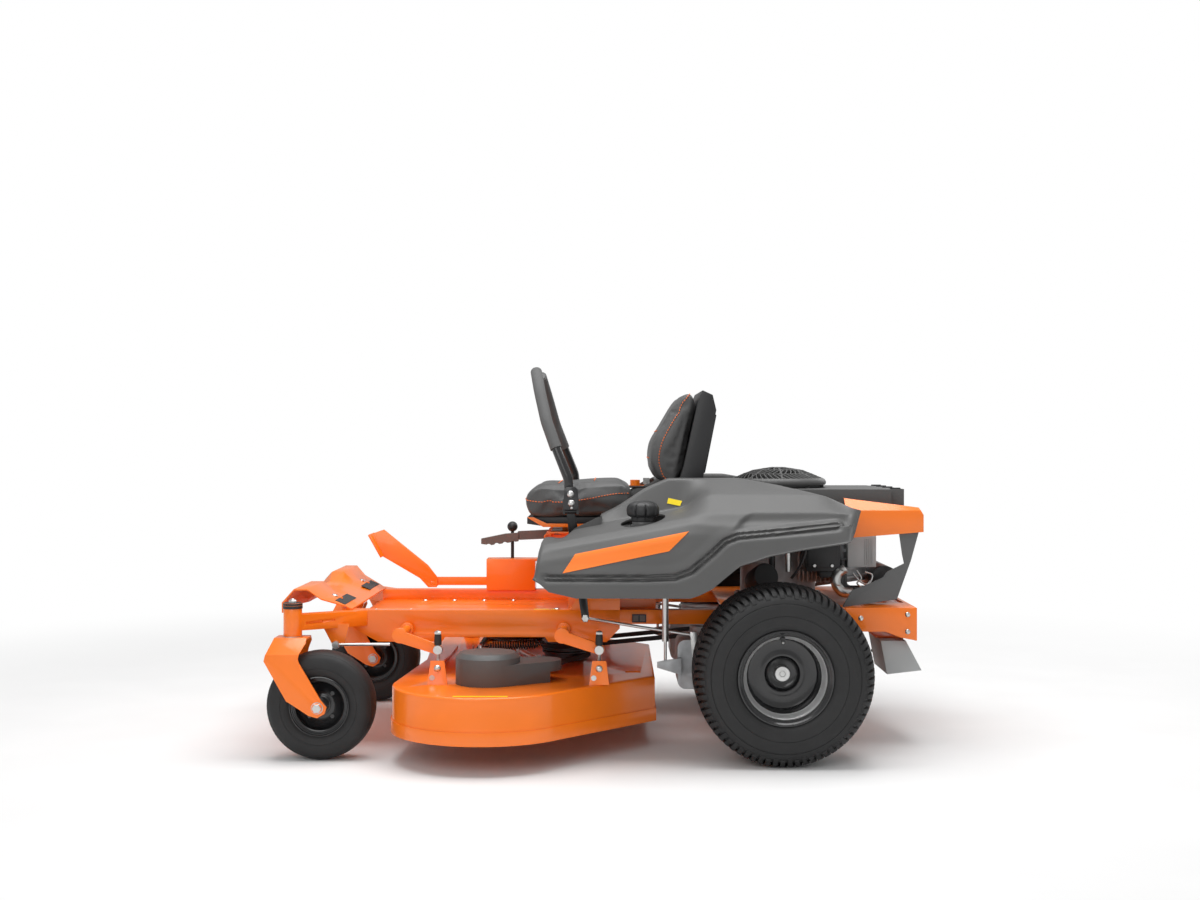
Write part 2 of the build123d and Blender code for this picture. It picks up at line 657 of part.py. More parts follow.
def control_arm():
    """Left control arm: hub on its pin, upper plate with hinge barrel, lower plate."""
    hub = crossbar(ARM_PIVOT_X, ARM_PIVOT_Z, -ARM_Y, -ARM_Y + 30, 18)
    upper = side_profile([
        (ARM_PIVOT_X - 17, ARM_PIVOT_Z), (ARM_PIVOT_X + 17, ARM_PIVOT_Z),
        (BAR_HINGE_X + 11, BAR_HINGE_Z - 6), (BAR_HINGE_X - 11, BAR_HINGE_Z - 6),
    ], -ARM_Y, -ARM_Y + 6)
    lower = side_profile([
        (ARM_PIVOT_X - 14, ARM_PIVOT_Z), (ARM_PIVOT_X + 14, ARM_PIVOT_Z),
        (ARM_PIN_X + 10, ARM_PIN_Z), (ARM_PIN_X, ARM_PIN_Z - 11), (ARM_PIN_X - 10, ARM_PIN_Z),
    ], -ARM_Y, -ARM_Y + 6)
    barrel = rod((BAR_HINGE_X - 15, -ARM_Y + 6, BAR_HINGE_Z), (BAR_HINGE_X + 15, -ARM_Y + 6, BAR_HINGE_Z), 9)
    bolt = crossbar(ARM_PIN_X, ARM_PIN_Z, -ARM_Y - 7, -ARM_Y, 9)
    arm = hub + upper + lower + barrel + bolt
    arm -= crossbar(ARM_PIVOT_X, ARM_PIVOT_Z, -ARM_Y - 20, -ARM_Y + 40, 10 + RUN_GAP)
    hinge_hole = rod((BAR_HINGE_X - 40, -ARM_Y + 6, BAR_HINGE_Z), (BAR_HINGE_X + 40, -ARM_Y + 6, BAR_HINGE_Z),
                     5 + RUN_GAP)
    return arm - hinge_hole


def bar_route():
    """Centre line of the left lap bar, from its foot to its inner end."""
    y = -ARM_Y + 6
    return FilletPolyline(
        (BAR_HINGE_X, y, BAR_HINGE_Z + 18), (-88, y, 728), (-119, y + 12, 805), (-147, y + 45, 880),
        (-168, y + 105, 962), (-183, y + 205, 1022), radius=(60, 110, 110, 130),
    )


def lap_bar():
    """Left lap bar: bent tube on a knuckle whose pin runs through the control arm's barrel."""
    y = -ARM_Y + 6
    route = bar_route()
    tube = sweep(Plane(origin=route @ 0, z_dir=route % 0) * Circle(BAR_R), path=route)
    left = BAR_HINGE_X - 15 - RUN_GAP
    right = BAR_HINGE_X + 15 + RUN_GAP
    knuckle = block(left - 6, right + 6, y - 10, y + 10, BAR_HINGE_Z + 15, BAR_HINGE_Z + 32)
    for x in (left - 6, right):
        knuckle += block(x, x + 6, y - 8, y + 8, BAR_HINGE_Z - 8, BAR_HINGE_Z + 16)
    pin = rod((left - 6, y, BAR_HINGE_Z), (right + 6, y, BAR_HINGE_Z), 5)
    return tube + knuckle + pin


def lap_grip():
    """Foam sleeve on the upper part of the left lap bar."""
    route = bar_route()
    start = 0.34
    plane = Plane(origin=route @ start, z_dir=route % start)
    grip_route = route.trim(start, 0.995)
    sleeve = sweep(plane * Circle(GRIP_R), path=grip_route)
    bore = sweep(plane * Circle(BAR_R + SEAT_GAP), path=grip_route)
    return sleeve - bore


def control_rod():
    """Rod from the left control arm to the lever on the drive unit."""
    y = -ARM_Y + 6 + RUN_GAP + 4
    end = (PUMP_X - 15, y, PUMP_Z + PUMP_LEVER)
    shank = rod((ARM_PIN_X, y, ARM_PIN_Z), (105, y, 330), 4) + rod((105, y, 330), end, 4)
    eye = crossbar(ARM_PIN_X, ARM_PIN_Z, y - 4, y + 4, 9)
    return shank + eye + crossbar(end[0], end[2], y - 4, y + 4, 9) + Pos(105, y, 330) * Sphere(4)


def lift_lever():
    """Deck lift hand lever: flat bar and moulded finger grip."""
    bar = side_profile([(-104, 531), (-104, 559), (-259, 551), (-275, 530), (-255, 524)], LEVER_Y - 3, LEVER_Y + 3)
    bar += crossbar(-104, 545, LEVER_Y - 3, LEVER_Y + 3, 14)
    grip = side_profile([
        (-259, 520), (-259, 546), (-300, 543), (-350, 533), (-373, 528), (-373, 512), (-345, 508),
    ], LEVER_Y - 11, LEVER_Y + 11)
    for x, z in ((-350, 503), (-325, 506), (-300, 509), (-275, 512)):
        grip -= crossbar(x, z, LEVER_Y - 20, LEVER_Y + 20, 9)
    return bar + grip - crossbar(-104, 545, 240, 280, 9 + RUN_GAP)


def brake_lever():
    """Parking brake lever with its ball knob, on the cross pin in the console."""
    stick = rod((-280, KNOB_Y, 400), (-280, KNOB_Y, 560), 5)
    hub = crossbar(-280, 400, KNOB_Y - 10, KNOB_Y + 10, 12)
    knob = Pos(-280, KNOB_Y, 563) * Sphere(16)
    return stick + hub + knob - crossbar(-280, 400, 240, 330, 6 + RUN_GAP)


def foot_pedal():
    """Deck lift pedal: folded arm with a wide foot plate, on the pin of its bracket."""
    arm = side_profile([
        (-643, 491), (-673, 474), (-560, 408), (-534, 380), (-508, 380), (-506, 411), (-535, 448),
        (-591, 494),
    ], 238, 244)
    plate = side_profile([(-710, 543), (-670, 557), (-591, 494), (-643, 482), (-673, 474)], 238, 244)
    foot = side_profile([(-713, 541), (-708, 545), (-670, 477), (-675, 473)], 200, 290)
    pedal = arm + plate + foot
    return pedal - crossbar(-520, 392, 230, 260, 7 + RUN_GAP)


def ignition_key():
    """Key in its switch on the console."""
    stem = upright(KEY_X, SWITCH_Y, CONSOLE_Z - 12, CONSOLE_Z + 6, KEY_STEM_R)
    return stem + block(KEY_X - 10, KEY_X + 10, SWITCH_Y - 2, SWITCH_Y + 2, CONSOLE_Z + 6, CONSOLE_Z + 24)


def pto_knob():
    """Pull knob of the blade clutch switch."""
    stem = upright(PTO_X, SWITCH_Y, CONSOLE_Z - 20, CONSOLE_Z + 8, PTO_STEM_R)
    return stem + upright(PTO_X, SWITCH_Y, CONSOLE_Z + RUN_GAP, CONSOLE_Z + 18, 15)


# ---------------------------------------------------------------- seat

def seat_plate():
    """Hinged plate under the seat, with its two slide rails."""
    plate = block(SEAT_HINGE_X + 8, 150, -190, 190, SEAT_PLATE_Z, SEAT_PLATE_Z + 5)
    for y in (-160, 146, -20):
        plate += block(SEAT_HINGE_X - 2, SEAT_HINGE_X + 12, y, y + 14, SEAT_PLATE_Z - 5, SEAT_PLATE_Z + 5)
        plate += crossbar(SEAT_HINGE_X, SEAT_PLATE_Z - 12, y, y + 14, 11)
    plate -= crossbar(SEAT_HINGE_X, SEAT_PLATE_Z - 12, -200, 200, 6 + RUN_GAP)
    plate -= block(SEAT_HINGE_X - 30, SEAT_HINGE_X + 30, -145, -130, 500, SEAT_PLATE_Z - 0.5)
    plate -= block(SEAT_HINGE_X - 30, SEAT_HINGE_X + 30, 130, 145, 500, SEAT_PLATE_Z - 0.5)
    feet = block(120, 148, -60, 60, SEAT_PLATE_Z - 8 + RUN_GAP, SEAT_PLATE_Z)
    for y in (-135, 113):
        plate += block(-110, 110, y, y + 22, SEAT_PLATE_Z + 5, SEAT_PLATE_Z + 19)
    return plate + feet


def seat_shell():
    """Moulded seat pan and ribbed back shell."""
    base = SEAT_PLATE_Z + 19 + RUN_GAP
    shell = side_profile([
        (-205, base + 8), (-150, base), (150, base), (225, base + 45), (281, 725), (318, 913),
        (308, 955), (280, 968), (268, 940), (228, 760), (206, 690), (150, SHELL_TOP), (-205, SHELL_TOP),
    ], -205, 205)
    for y in (-150, -50, 50, 140):
        shell += side_profile([(281, 740), (316, 905), (322, 900), (290, 738)], y, y + 10)
    return shell


def seat_cushion():
    """Plain solid in the place of the padded seat cushion."""
    return side_profile([
        (-222, 655), (-200, SHELL_TOP + SEAT_GAP), (88, SHELL_TOP + SEAT_GAP), (92, 665), (88, 704),
        (-60, 690), (-205, 693), (-220, 680),
    ], -SEAT_HALF_W, SEAT_HALF_W)


def back_cushion():
    """Plain solid in the place of the padded back cushion."""
    return side_profile([
        (129, 765), (138, 825), (176, 880), (221, 955), (245, 972), (262, 962), (268 - SEAT_GAP, 940),
        (228 - SEAT_GAP, 760), (205, 697), (150, 712),
    ], -200, 200)


# ---------------------------------------------------------------- deck

def deck_plan():
    """Outline of the cutting deck in plan."""
    side = math.degrees(math.atan2(149, 193))
    left = CenterArc((SIDE_SPINDLE_X, -SIDE_SPINDLE_Y), DECK_RADIUS, 180, 180 - side)
    right = CenterArc((SIDE_SPINDLE_X, SIDE_SPINDLE_Y), DECK_RADIUS, side, 180 - side)
    rear = Polyline(left @ 1, (145, -321), (145, 321), right @ 0)
    front = Polyline(right @ 1, (-508, 0), left @ 0)
    return make_face(left + rear + right + front)


def deck_bracket(x):
    """Upright bracket on the left of the deck that holds one hanger rod."""
    bracket = side_profile([
        (x - 26, DECK_TOP), (x + 26, DECK_TOP), (x + 18, DECK_TOP + 62), (x - 18, DECK_TOP + 62),
    ], -474, -468)
    bracket += block(x - 18, x + 18, -474, -448, DECK_TOP + 44, DECK_TOP + 50)
    return bracket - upright(x, -HANGER_Y, DECK_TOP + 30, DECK_TOP + 60, 5 + RUN_GAP)


def deck_shell():
    """Welded mowing deck: top, skirt, lower band, discharge opening and hanger brackets."""
    plan = deck_plan()
    shell = extrude(Plane.XY.offset(DECK_BOTTOM) * plan, amount=DECK_TOP - DECK_BOTTOM)
    shell = fillet(shell.edges().group_by(Axis.Z)[-1], 6)
    band = extrude(Plane.XY.offset(DECK_BOTTOM) * offset(plan, amount=4), amount=34)
    cavity = extrude(
        Plane.XY.offset(DECK_BOTTOM - 1) * offset(plan, amount=-DECK_WALL),
        amount=DECK_TOP - DECK_WALL - DECK_BOTTOM + 1,
    )
    shell = shell + band - cavity
    shell -= block(-420, -130, 560, 720, DECK_BOTTOM - 2, DECK_TOP - DECK_WALL - 2)
    for x in (FRONT_SHAFT_X + LIFT_ARM_REACH + 4, REAR_SHAFT_X + LIFT_ARM_REACH):
        shell += deck_bracket(x) + mirrored(deck_bracket(x))
    for x in (-450, -400):
        shell += block(x, x + 8, -230, 230, DECK_TOP - 1, DECK_TOP + 7)
    for x, y in spindle_centres():
        shell -= upright(x, y, DECK_BOTTOM, DECK_TOP + 10, 32)
    return shell - block(66, 108, -262, -236, DECK_TOP - 20, DECK_TOP + 20)


def spindle_centres():
    """Blade axes: left, middle and right."""
    return [
        (SIDE_SPINDLE_X, -SIDE_SPINDLE_Y), (MID_SPINDLE_X, 0), (SIDE_SPINDLE_X, SIDE_SPINDLE_Y),
    ]


def spindle_housings():
    """Three cast bearing housings bolted through the deck's top."""
    pieces = []
    for x, y in spindle_centres():
        casting = upright(x, y, 128, DECK_TOP, 30) + upright(x, y, DECK_TOP, DECK_TOP + 5, 52)
        pieces.append(casting - upright(x, y, 100, 220, SPINDLE_R + RUN_GAP))
    return group(*pieces)


def blade():
    """Flat mower blade about the origin, with a raised lift fin at each end."""
    half_w = 30
    bar = Box(2 * BLADE_R - 6, 2 * half_w, 6) & upright(0, 0, -10, 10, BLADE_R)
    fin_outline = [(150, 2), (215, 2), (215, 16)]
    fin = side_profile(fin_outline, -half_w, -half_w + 6)
    return joined(bar, fin, Rot(0, 0, 180) * fin)


def blade_spindle(x, y, grooves):
    """Blade, spindle shaft and pulleys on one axis; grooves are (height, half height) pairs."""
    shaft = upright(x, y, 86, 262, SPINDLE_R)
    spacer = upright(x, y, BLADE_Z, 127, 24)
    bolt = upright(x, y, 86, BLADE_Z, 17)
    pulleys = [pulley(x, y, z, groove) for z, groove in grooves]
    return joined(shaft, spacer, bolt, Pos(x, y, BLADE_Z) * blade(), *pulleys)


def belt_covers():
    """Moulded covers over the outer spindle pulleys, open where the belt runs out."""
    cover = belt_cover_form(0) - belt_cover_form(4)
    cover -= block(-400, -60, -430, -300, DECK_TOP - 2, DECK_BELT_Z + 12)
    return group(cover, mirrored(cover))


def belt_cover_form(inset):
    """Outer form of the left belt cover, or its cavity when inset."""
    low = DECK_TOP - inset
    x = SIDE_SPINDLE_X + 4
    y = -SIDE_SPINDLE_Y - 2
    dome = chamfer(upright(x, y, low, 277 - inset, 84 - inset).edges().group_by(Axis.Z)[-1], 12)
    ends = [Pos(x, y) * Circle(84 - inset), Pos(-156, -384) * Circle(52 - inset)]
    tail = extrude(
        Plane.XY.offset(low) * make_hull([edge for end in ends for edge in end.edges()]),
        amount=250 - inset - low,
    )
    return dome + tail


def deck_fittings():
    """Four hanger rods with their heads, sleeves and nuts, and the idler's spring."""
    pieces = [idler_spring()]
    for x in (FRONT_SHAFT_X + LIFT_ARM_REACH + 4, REAR_SHAFT_X + LIFT_ARM_REACH):
        top = DECK_TOP + 139
        eye_z = LIFT_SHAFT_Z - LIFT_ARM_DROP
        hanger = upright(x, -HANGER_Y, DECK_TOP + 20, top, 5)
        hanger += crossbar(x, eye_z, -HANGER_Y - 8, -HANGER_Y + 8 - RUN_GAP, 10)
        hanger += upright(x, -HANGER_Y, eye_z + 12, eye_z + 40, 8)
        for nut_z in (DECK_TOP + 36, DECK_TOP + 50):
            hanger += upright(x, -HANGER_Y, nut_z, nut_z + 8, NUT_R)
        pieces += [hanger, mirrored(hanger)]
    return group(*pieces)


def lift_shaft(x):
    """Cross shaft through both rails with a lift arm at each end."""
    arm_in = HANGER_Y - 16
    arm_out = HANGER_Y - 8
    shaft = crossbar(x, LIFT_SHAFT_Z, -arm_out, arm_out, SHAFT_R)
    end_x = x + LIFT_ARM_REACH
    end_z = LIFT_SHAFT_Z - LIFT_ARM_DROP
    arm = side_profile([
        (x - 6, LIFT_SHAFT_Z + 17), (x - 12, LIFT_SHAFT_Z - 15), (end_x - 4, end_z - 13),
        (end_x + 8, end_z + 11),
    ], -arm_out, -arm_in)
    arm += crossbar(x, LIFT_SHAFT_Z, -arm_out, -arm_in, 20)
    arm += crossbar(end_x, end_z, -arm_out, -arm_in, 14)
    collar = crossbar(x, LIFT_SHAFT_Z, -RAIL_OUT - 17, -RAIL_OUT - PLATE - RUN_GAP, 18)
    return shaft + arm + mirrored(arm) + collar + mirrored(collar)


def idler_place():
    """Plan centre of the idler pulley, which lies against the inside of the left belt run."""
    run = Vector(MID_SPINDLE_X - SIDE_SPINDLE_X, SIDE_SPINDLE_Y).normalized()
    outward = Vector(run.Y, -run.X)
    inside = PULLEY_R - IDLER_R
    centre = Vector(SIDE_SPINDLE_X, -SIDE_SPINDLE_Y) + run * 239 + outward * inside
    return centre.X, centre.Y


def belt_idler():
    """Belt idler: arm on its pivot with a flat pulley at its end."""
    x, y = idler_place()
    arm = rod((IDLER_PIVOT_X, IDLER_PIVOT_Y, 225), (x, y, 225), 9)
    pivot = upright(IDLER_PIVOT_X, IDLER_PIVOT_Y, DECK_TOP + RUN_GAP, 236, 15)
    wheel = upright(x, y, DECK_BELT_Z - 9, DECK_BELT_Z + 9, IDLER_R) + upright(x, y, 200, 240, 7)
    return joined(arm, pivot, wheel)


def idler_spring():
    """Tension spring of the idler, as a tube, with its post on the deck."""
    tube = rod((-156, -200, 268), (-330, -200, 258), 13) - rod((-150, -200, 268), (-336, -200, 258), 9)
    return tube + upright(-320, -200, DECK_TOP, 252, 6)


def discharge_chute():
    """Moulded chute on the right of the deck, hinged along its top edge."""
    y = SIDE_SPINDLE_Y + DECK_RADIUS + 9
    z = DECK_TOP + 6
    reach = y + CHUTE_REACH
    sheet = front_profile([
        (y - 2, z + 4), (y + 90, z - 4), (y + 190, z - 40), (reach, z - 92), (reach - 6, z - 96),
        (y + 186, z - 46), (y + 88, z - 10), (y - 2, z - 2),
    ], -440, -120)
    for x in (-440, -125):
        sheet += front_profile([
            (y + 2, z - 2), (y + 88, z - 8), (y + 186, z - 44), (reach - 4, z - 94), (y + 150, z - 104),
            (y + 6, z - 96),
        ], x, x + 5)
    tube = rod((-440, y, z), (-120, y, z), 8)
    for x in (-400, -180):
        sheet -= block(x - 1, x + 21, y - 12, y + 12, z - 12, z + 14)
        tube -= block(x - 1, x + 21, y - 12, y + 12, z - 12, z + 14)
    return sheet + tube + rod((-440, y, z), (-120, y, z), 4)


def chute_hinges():
    """Two hinge ears on the right of the deck."""
    y = SIDE_SPINDLE_Y + DECK_RADIUS + 9
    z = DECK_TOP + 6
    ears = []
    for x in (-400, -180):
        ear = rod((x, y, z), (x + 20, y, z), 9) + block(x, x + 20, y - 60, y, DECK_TOP, DECK_TOP + 5)
        ears.append(ear - rod((x - 1, y, z), (x + 21, y, z), 4 + RUN_GAP))
    return ears


# ---------------------------------------------------------------- all nodes

def place(solid, x, y, z):
    """A wheel, rim or fork moved to its own axis."""
    return Pos(x, y, z) * solid


def build_nodes():
    """Every node of the mower in the vehicle frame."""
    rear_y = REAR_TRACK / 2
    caster_y = CASTER_TRACK / 2
    caster_x = SWIVEL_X + CASTER_TRAIL
    nodes = {}
    left = frame_side()
    nodes["frame_left"] = left
    nodes["frame_right"] = mirrored(left)
    nodes["rear_frame"] = rear_frame()
    nodes["foot_guard"] = foot_guard()
    nodes["floor_pan"] = floor_pan()
    nodes["rear_panels"] = rear_panels()
    nodes["fender_left"] = fender()
    nodes["fender_right"] = right_fender()
    nodes["fuel_tank"] = fuel_tank()
    nodes["fuel_cap"] = fuel_cap()
    nodes["battery"] = battery()
    nodes["engine_block"] = engine_block()
    nodes["engine_shroud"] = engine_shroud()
    nodes["crankshaft"] = crankshaft()
    nodes["drive_belt"] = drive_belt()
    nodes["transaxle_left"] = group(transaxle(), damper_rod())
    nodes["transaxle_right"] = group(mirrored(transaxle()), mirrored(damper_rod()))
    sided = {
        "pump_lever": pump_lever(), "damper": damper(), "control_arm": control_arm(),
        "lap_bar": lap_bar(), "lap_grip": lap_grip(), "control_rod": control_rod(),
    }
    for name, solid in sided.items():
        nodes[name + "_left"] = solid
        nodes[name + "_right"] = mirrored(solid)
    nodes["lift_lever"] = lift_lever()
    nodes["brake_lever"] = brake_lever()
    nodes["foot_pedal"] = foot_pedal()
    nodes["ignition_key"] = ignition_key()
    nodes["pto_knob"] = pto_knob()
    nodes["seat_plate"] = seat_plate()
    nodes["seat_shell"] = seat_shell()
    nodes["seat_cushion"] = seat_cushion()
    nodes["back_cushion"] = back_cushion()
    deck = deck_shell()
    for ear in chute_hinges():
        deck += ear
    nodes["deck_shell"] = deck
    nodes["belt_covers"] = belt_covers()
    nodes["deck_fittings"] = deck_fittings()
    nodes["spindle_housings"] = spindle_housings()
    nodes["deck_belt"] = belt_loop(spindle_centres(), DECK_BELT_Z)
    nodes["belt_idler"] = belt_idler()
    nodes["discharge_chute"] = discharge_chute()
    names = ("blade_left", "blade_middle", "blade_right")
    for name, (x, y) in zip(names, spindle_centres()):
        grooves = [(DECK_BELT_Z, BELT_GROOVE)]
        if y == 0:
            grooves.append((DRIVE_BELT_Z, DRIVE_GROOVE))
        nodes[name] = blade_spindle(x, y, grooves)
    nodes["lift_shaft_front"] = lift_shaft(FRONT_SHAFT_X)
    nodes["lift_shaft_rear"] = lift_shaft(REAR_SHAFT_X)
    for side, name in ((-1, "left"), (1, "right")):
        rim = rear_rim() if side < 0 else mirrored(rear_rim())
        nodes["rear_tyre_" + name] = place(rear_tyre(), REAR_AXLE_X, side * rear_y, REAR_TYRE_R)
        nodes["rear_rim_" + name] = place(rim, REAR_AXLE_X, side * rear_y, REAR_TYRE_R)
        nodes["caster_tyre_" + name] = place(caster_tyre(), caster_x, side * caster_y, CASTER_TYRE_R)
        nodes["caster_rim_" + name] = place(caster_rim(), caster_x, side * caster_y, CASTER_TYRE_R)
        nodes["caster_fork_" + name] = place(caster_fork(), SWIVEL_X, side * caster_y, 0)
    return nodes


def footprint_centre():
    """Middle of the footprint, between the casters and the hitch, the deck's edge and the chute."""
    front = SWIVEL_X + CASTER_TRAIL - CASTER_TYRE_R
    rear = BUMPER_X + 22
    left = -SIDE_SPINDLE_Y - DECK_RADIUS - 4
    right = SIDE_SPINDLE_Y + DECK_RADIUS + 9 + CHUTE_REACH
    return (front + rear) / 2, (left + right) / 2


def main():
    os.makedirs("parts", exist_ok=True)
    centre_x, centre_y = footprint_centre()
    print("origin shift", centre_x, centre_y)
    for name, solid in build_nodes().items():
        export_step(Pos(-centre_x, -centre_y, 0) * solid, "parts/" + name + ".step")


main()
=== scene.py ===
"""Looks of the zero turn mower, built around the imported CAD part."""

import json
import math

import bmesh
import bpy
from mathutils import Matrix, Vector
from mathutils.bvhtree import BVHTree

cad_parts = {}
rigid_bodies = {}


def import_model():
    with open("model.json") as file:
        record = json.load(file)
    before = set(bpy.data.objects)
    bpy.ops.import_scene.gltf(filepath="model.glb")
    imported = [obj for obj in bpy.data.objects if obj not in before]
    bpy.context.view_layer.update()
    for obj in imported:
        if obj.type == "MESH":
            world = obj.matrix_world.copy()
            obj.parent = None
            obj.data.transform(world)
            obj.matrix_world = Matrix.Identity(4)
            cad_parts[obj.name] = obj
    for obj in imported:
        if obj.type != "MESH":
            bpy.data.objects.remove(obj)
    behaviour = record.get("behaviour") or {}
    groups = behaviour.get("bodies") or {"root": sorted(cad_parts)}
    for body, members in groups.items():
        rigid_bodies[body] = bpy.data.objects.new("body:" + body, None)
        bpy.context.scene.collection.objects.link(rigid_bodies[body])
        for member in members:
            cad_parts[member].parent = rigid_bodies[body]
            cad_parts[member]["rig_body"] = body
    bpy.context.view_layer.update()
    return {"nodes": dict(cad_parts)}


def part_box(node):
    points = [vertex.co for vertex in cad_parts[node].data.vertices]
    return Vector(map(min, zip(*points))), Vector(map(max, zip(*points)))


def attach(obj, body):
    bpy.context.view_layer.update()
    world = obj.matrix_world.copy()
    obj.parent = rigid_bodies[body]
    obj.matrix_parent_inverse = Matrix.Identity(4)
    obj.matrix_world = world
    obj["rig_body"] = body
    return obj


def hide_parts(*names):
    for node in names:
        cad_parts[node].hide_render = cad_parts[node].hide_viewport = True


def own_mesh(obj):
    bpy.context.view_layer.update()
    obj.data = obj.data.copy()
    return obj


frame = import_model()

# The pieces below are given in millimetres about the vehicle's centre plane. The crankshaft's axis
# is 509 mm behind that origin and on the centre plane, and its box says where this is in the frame.
CRANK_X = 509
_low, _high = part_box("crankshaft")
SHIFT = Vector(((_low.x + _high.x) / 2 - CRANK_X / 1000, (_low.y + _high.y) / 2, 0))


def at(x, y, z):
    """A point in vehicle millimetres as a point of the frame."""
    return Vector((x / 1000, y / 1000, z / 1000)) + SHIFT


# ---------------------------------------------------------------- materials

def new_material(name):
    material = bpy.data.materials.new(name)
    material.use_nodes = True
    nodes = material.node_tree.nodes
    return material, nodes, material.node_tree.links, nodes["Principled BSDF"]


def noise_node(nodes, links, scale, detail=3.0, stretch=(1, 1, 1)):
    """Noise in object space, which is the frame's own space for every piece."""
    coordinates = nodes.new("ShaderNodeTexCoord")
    mapping = nodes.new("ShaderNodeMapping")
    mapping.inputs["Scale"].default_value = stretch
    texture = nodes.new("ShaderNodeTexNoise")
    texture.inputs["Scale"].default_value = scale
    texture.inputs["Detail"].default_value = detail
    links.new(coordinates.outputs["Object"], mapping.inputs["Vector"])
    links.new(mapping.outputs["Vector"], texture.inputs["Vector"])
    return texture


def ramp(nodes, links, source, low, high, a=0.3, b=0.7):
    """Colour ramp between two colours."""
    node = nodes.new("ShaderNodeValToRGB")
    node.color_ramp.elements[0].position = a
    node.color_ramp.elements[0].color = (*low, 1)
    node.color_ramp.elements[1].position = b
    node.color_ramp.elements[1].color = (*high, 1)
    links.new(source, node.inputs["Fac"])
    return node


def surface(name, colour, rough, spread=0.06, grain=600, bump=0.1, metallic=0.0, coat=0.0,
            tint=0.06, patch=9, cell=0, cell_bump=0.0, stretch=(1, 1, 1), specular=0.5):
    """A finish with colour variation, uneven roughness and a fine grain."""
    material, nodes, links, shader = new_material(name)
    shader.inputs["Metallic"].default_value = metallic
    shader.inputs["Coat Weight"].default_value = coat
    shader.inputs["Coat Roughness"].default_value = 0.12
    shader.inputs["Specular IOR Level"].default_value = specular
    patches = noise_node(nodes, links, patch, 4.0, stretch)
    dark = [c * (1 - tint) for c in colour]
    light = [min(1.0, c * (1 + tint)) for c in colour]
    colours = ramp(nodes, links, patches.outputs["Fac"], dark, light)
    links.new(colours.outputs["Color"], shader.inputs["Base Color"])
    gloss = nodes.new("ShaderNodeMapRange")
    gloss.inputs["To Min"].default_value = rough - spread
    gloss.inputs["To Max"].default_value = rough + spread
    smear = noise_node(nodes, links, patch * 4, 5.0, stretch)
    links.new(smear.outputs["Fac"], gloss.inputs["Value"])
    links.new(gloss.outputs["Result"], shader.inputs["Roughness"])
    fine = noise_node(nodes, links, grain, 2.0, stretch)
    relief = nodes.new("ShaderNodeBump")
    relief.inputs["Strength"].default_value = bump
    relief.inputs["Distance"].default_value = 0.001
    links.new(fine.outputs["Fac"], relief.inputs["Height"])
    last = relief
    if cell:
        cells = nodes.new("ShaderNodeTexVoronoi")
        cells.feature = "DISTANCE_TO_EDGE"
        cells.inputs["Scale"].default_value = cell
        coordinates = nodes.new("ShaderNodeTexCoord")
        links.new(coordinates.outputs["Object"], cells.inputs["Vector"])
        pebble = nodes.new("ShaderNodeBump")
        pebble.inputs["Strength"].default_value = cell_bump
        pebble.inputs["Distance"].default_value = 0.0006
        links.new(cells.outputs["Distance"], pebble.inputs["Height"])
        links.new(relief.outputs["Normal"], pebble.inputs["Normal"])
        last = pebble
    links.new(last.outputs["Normal"], shader.inputs["Normal"])
    return material


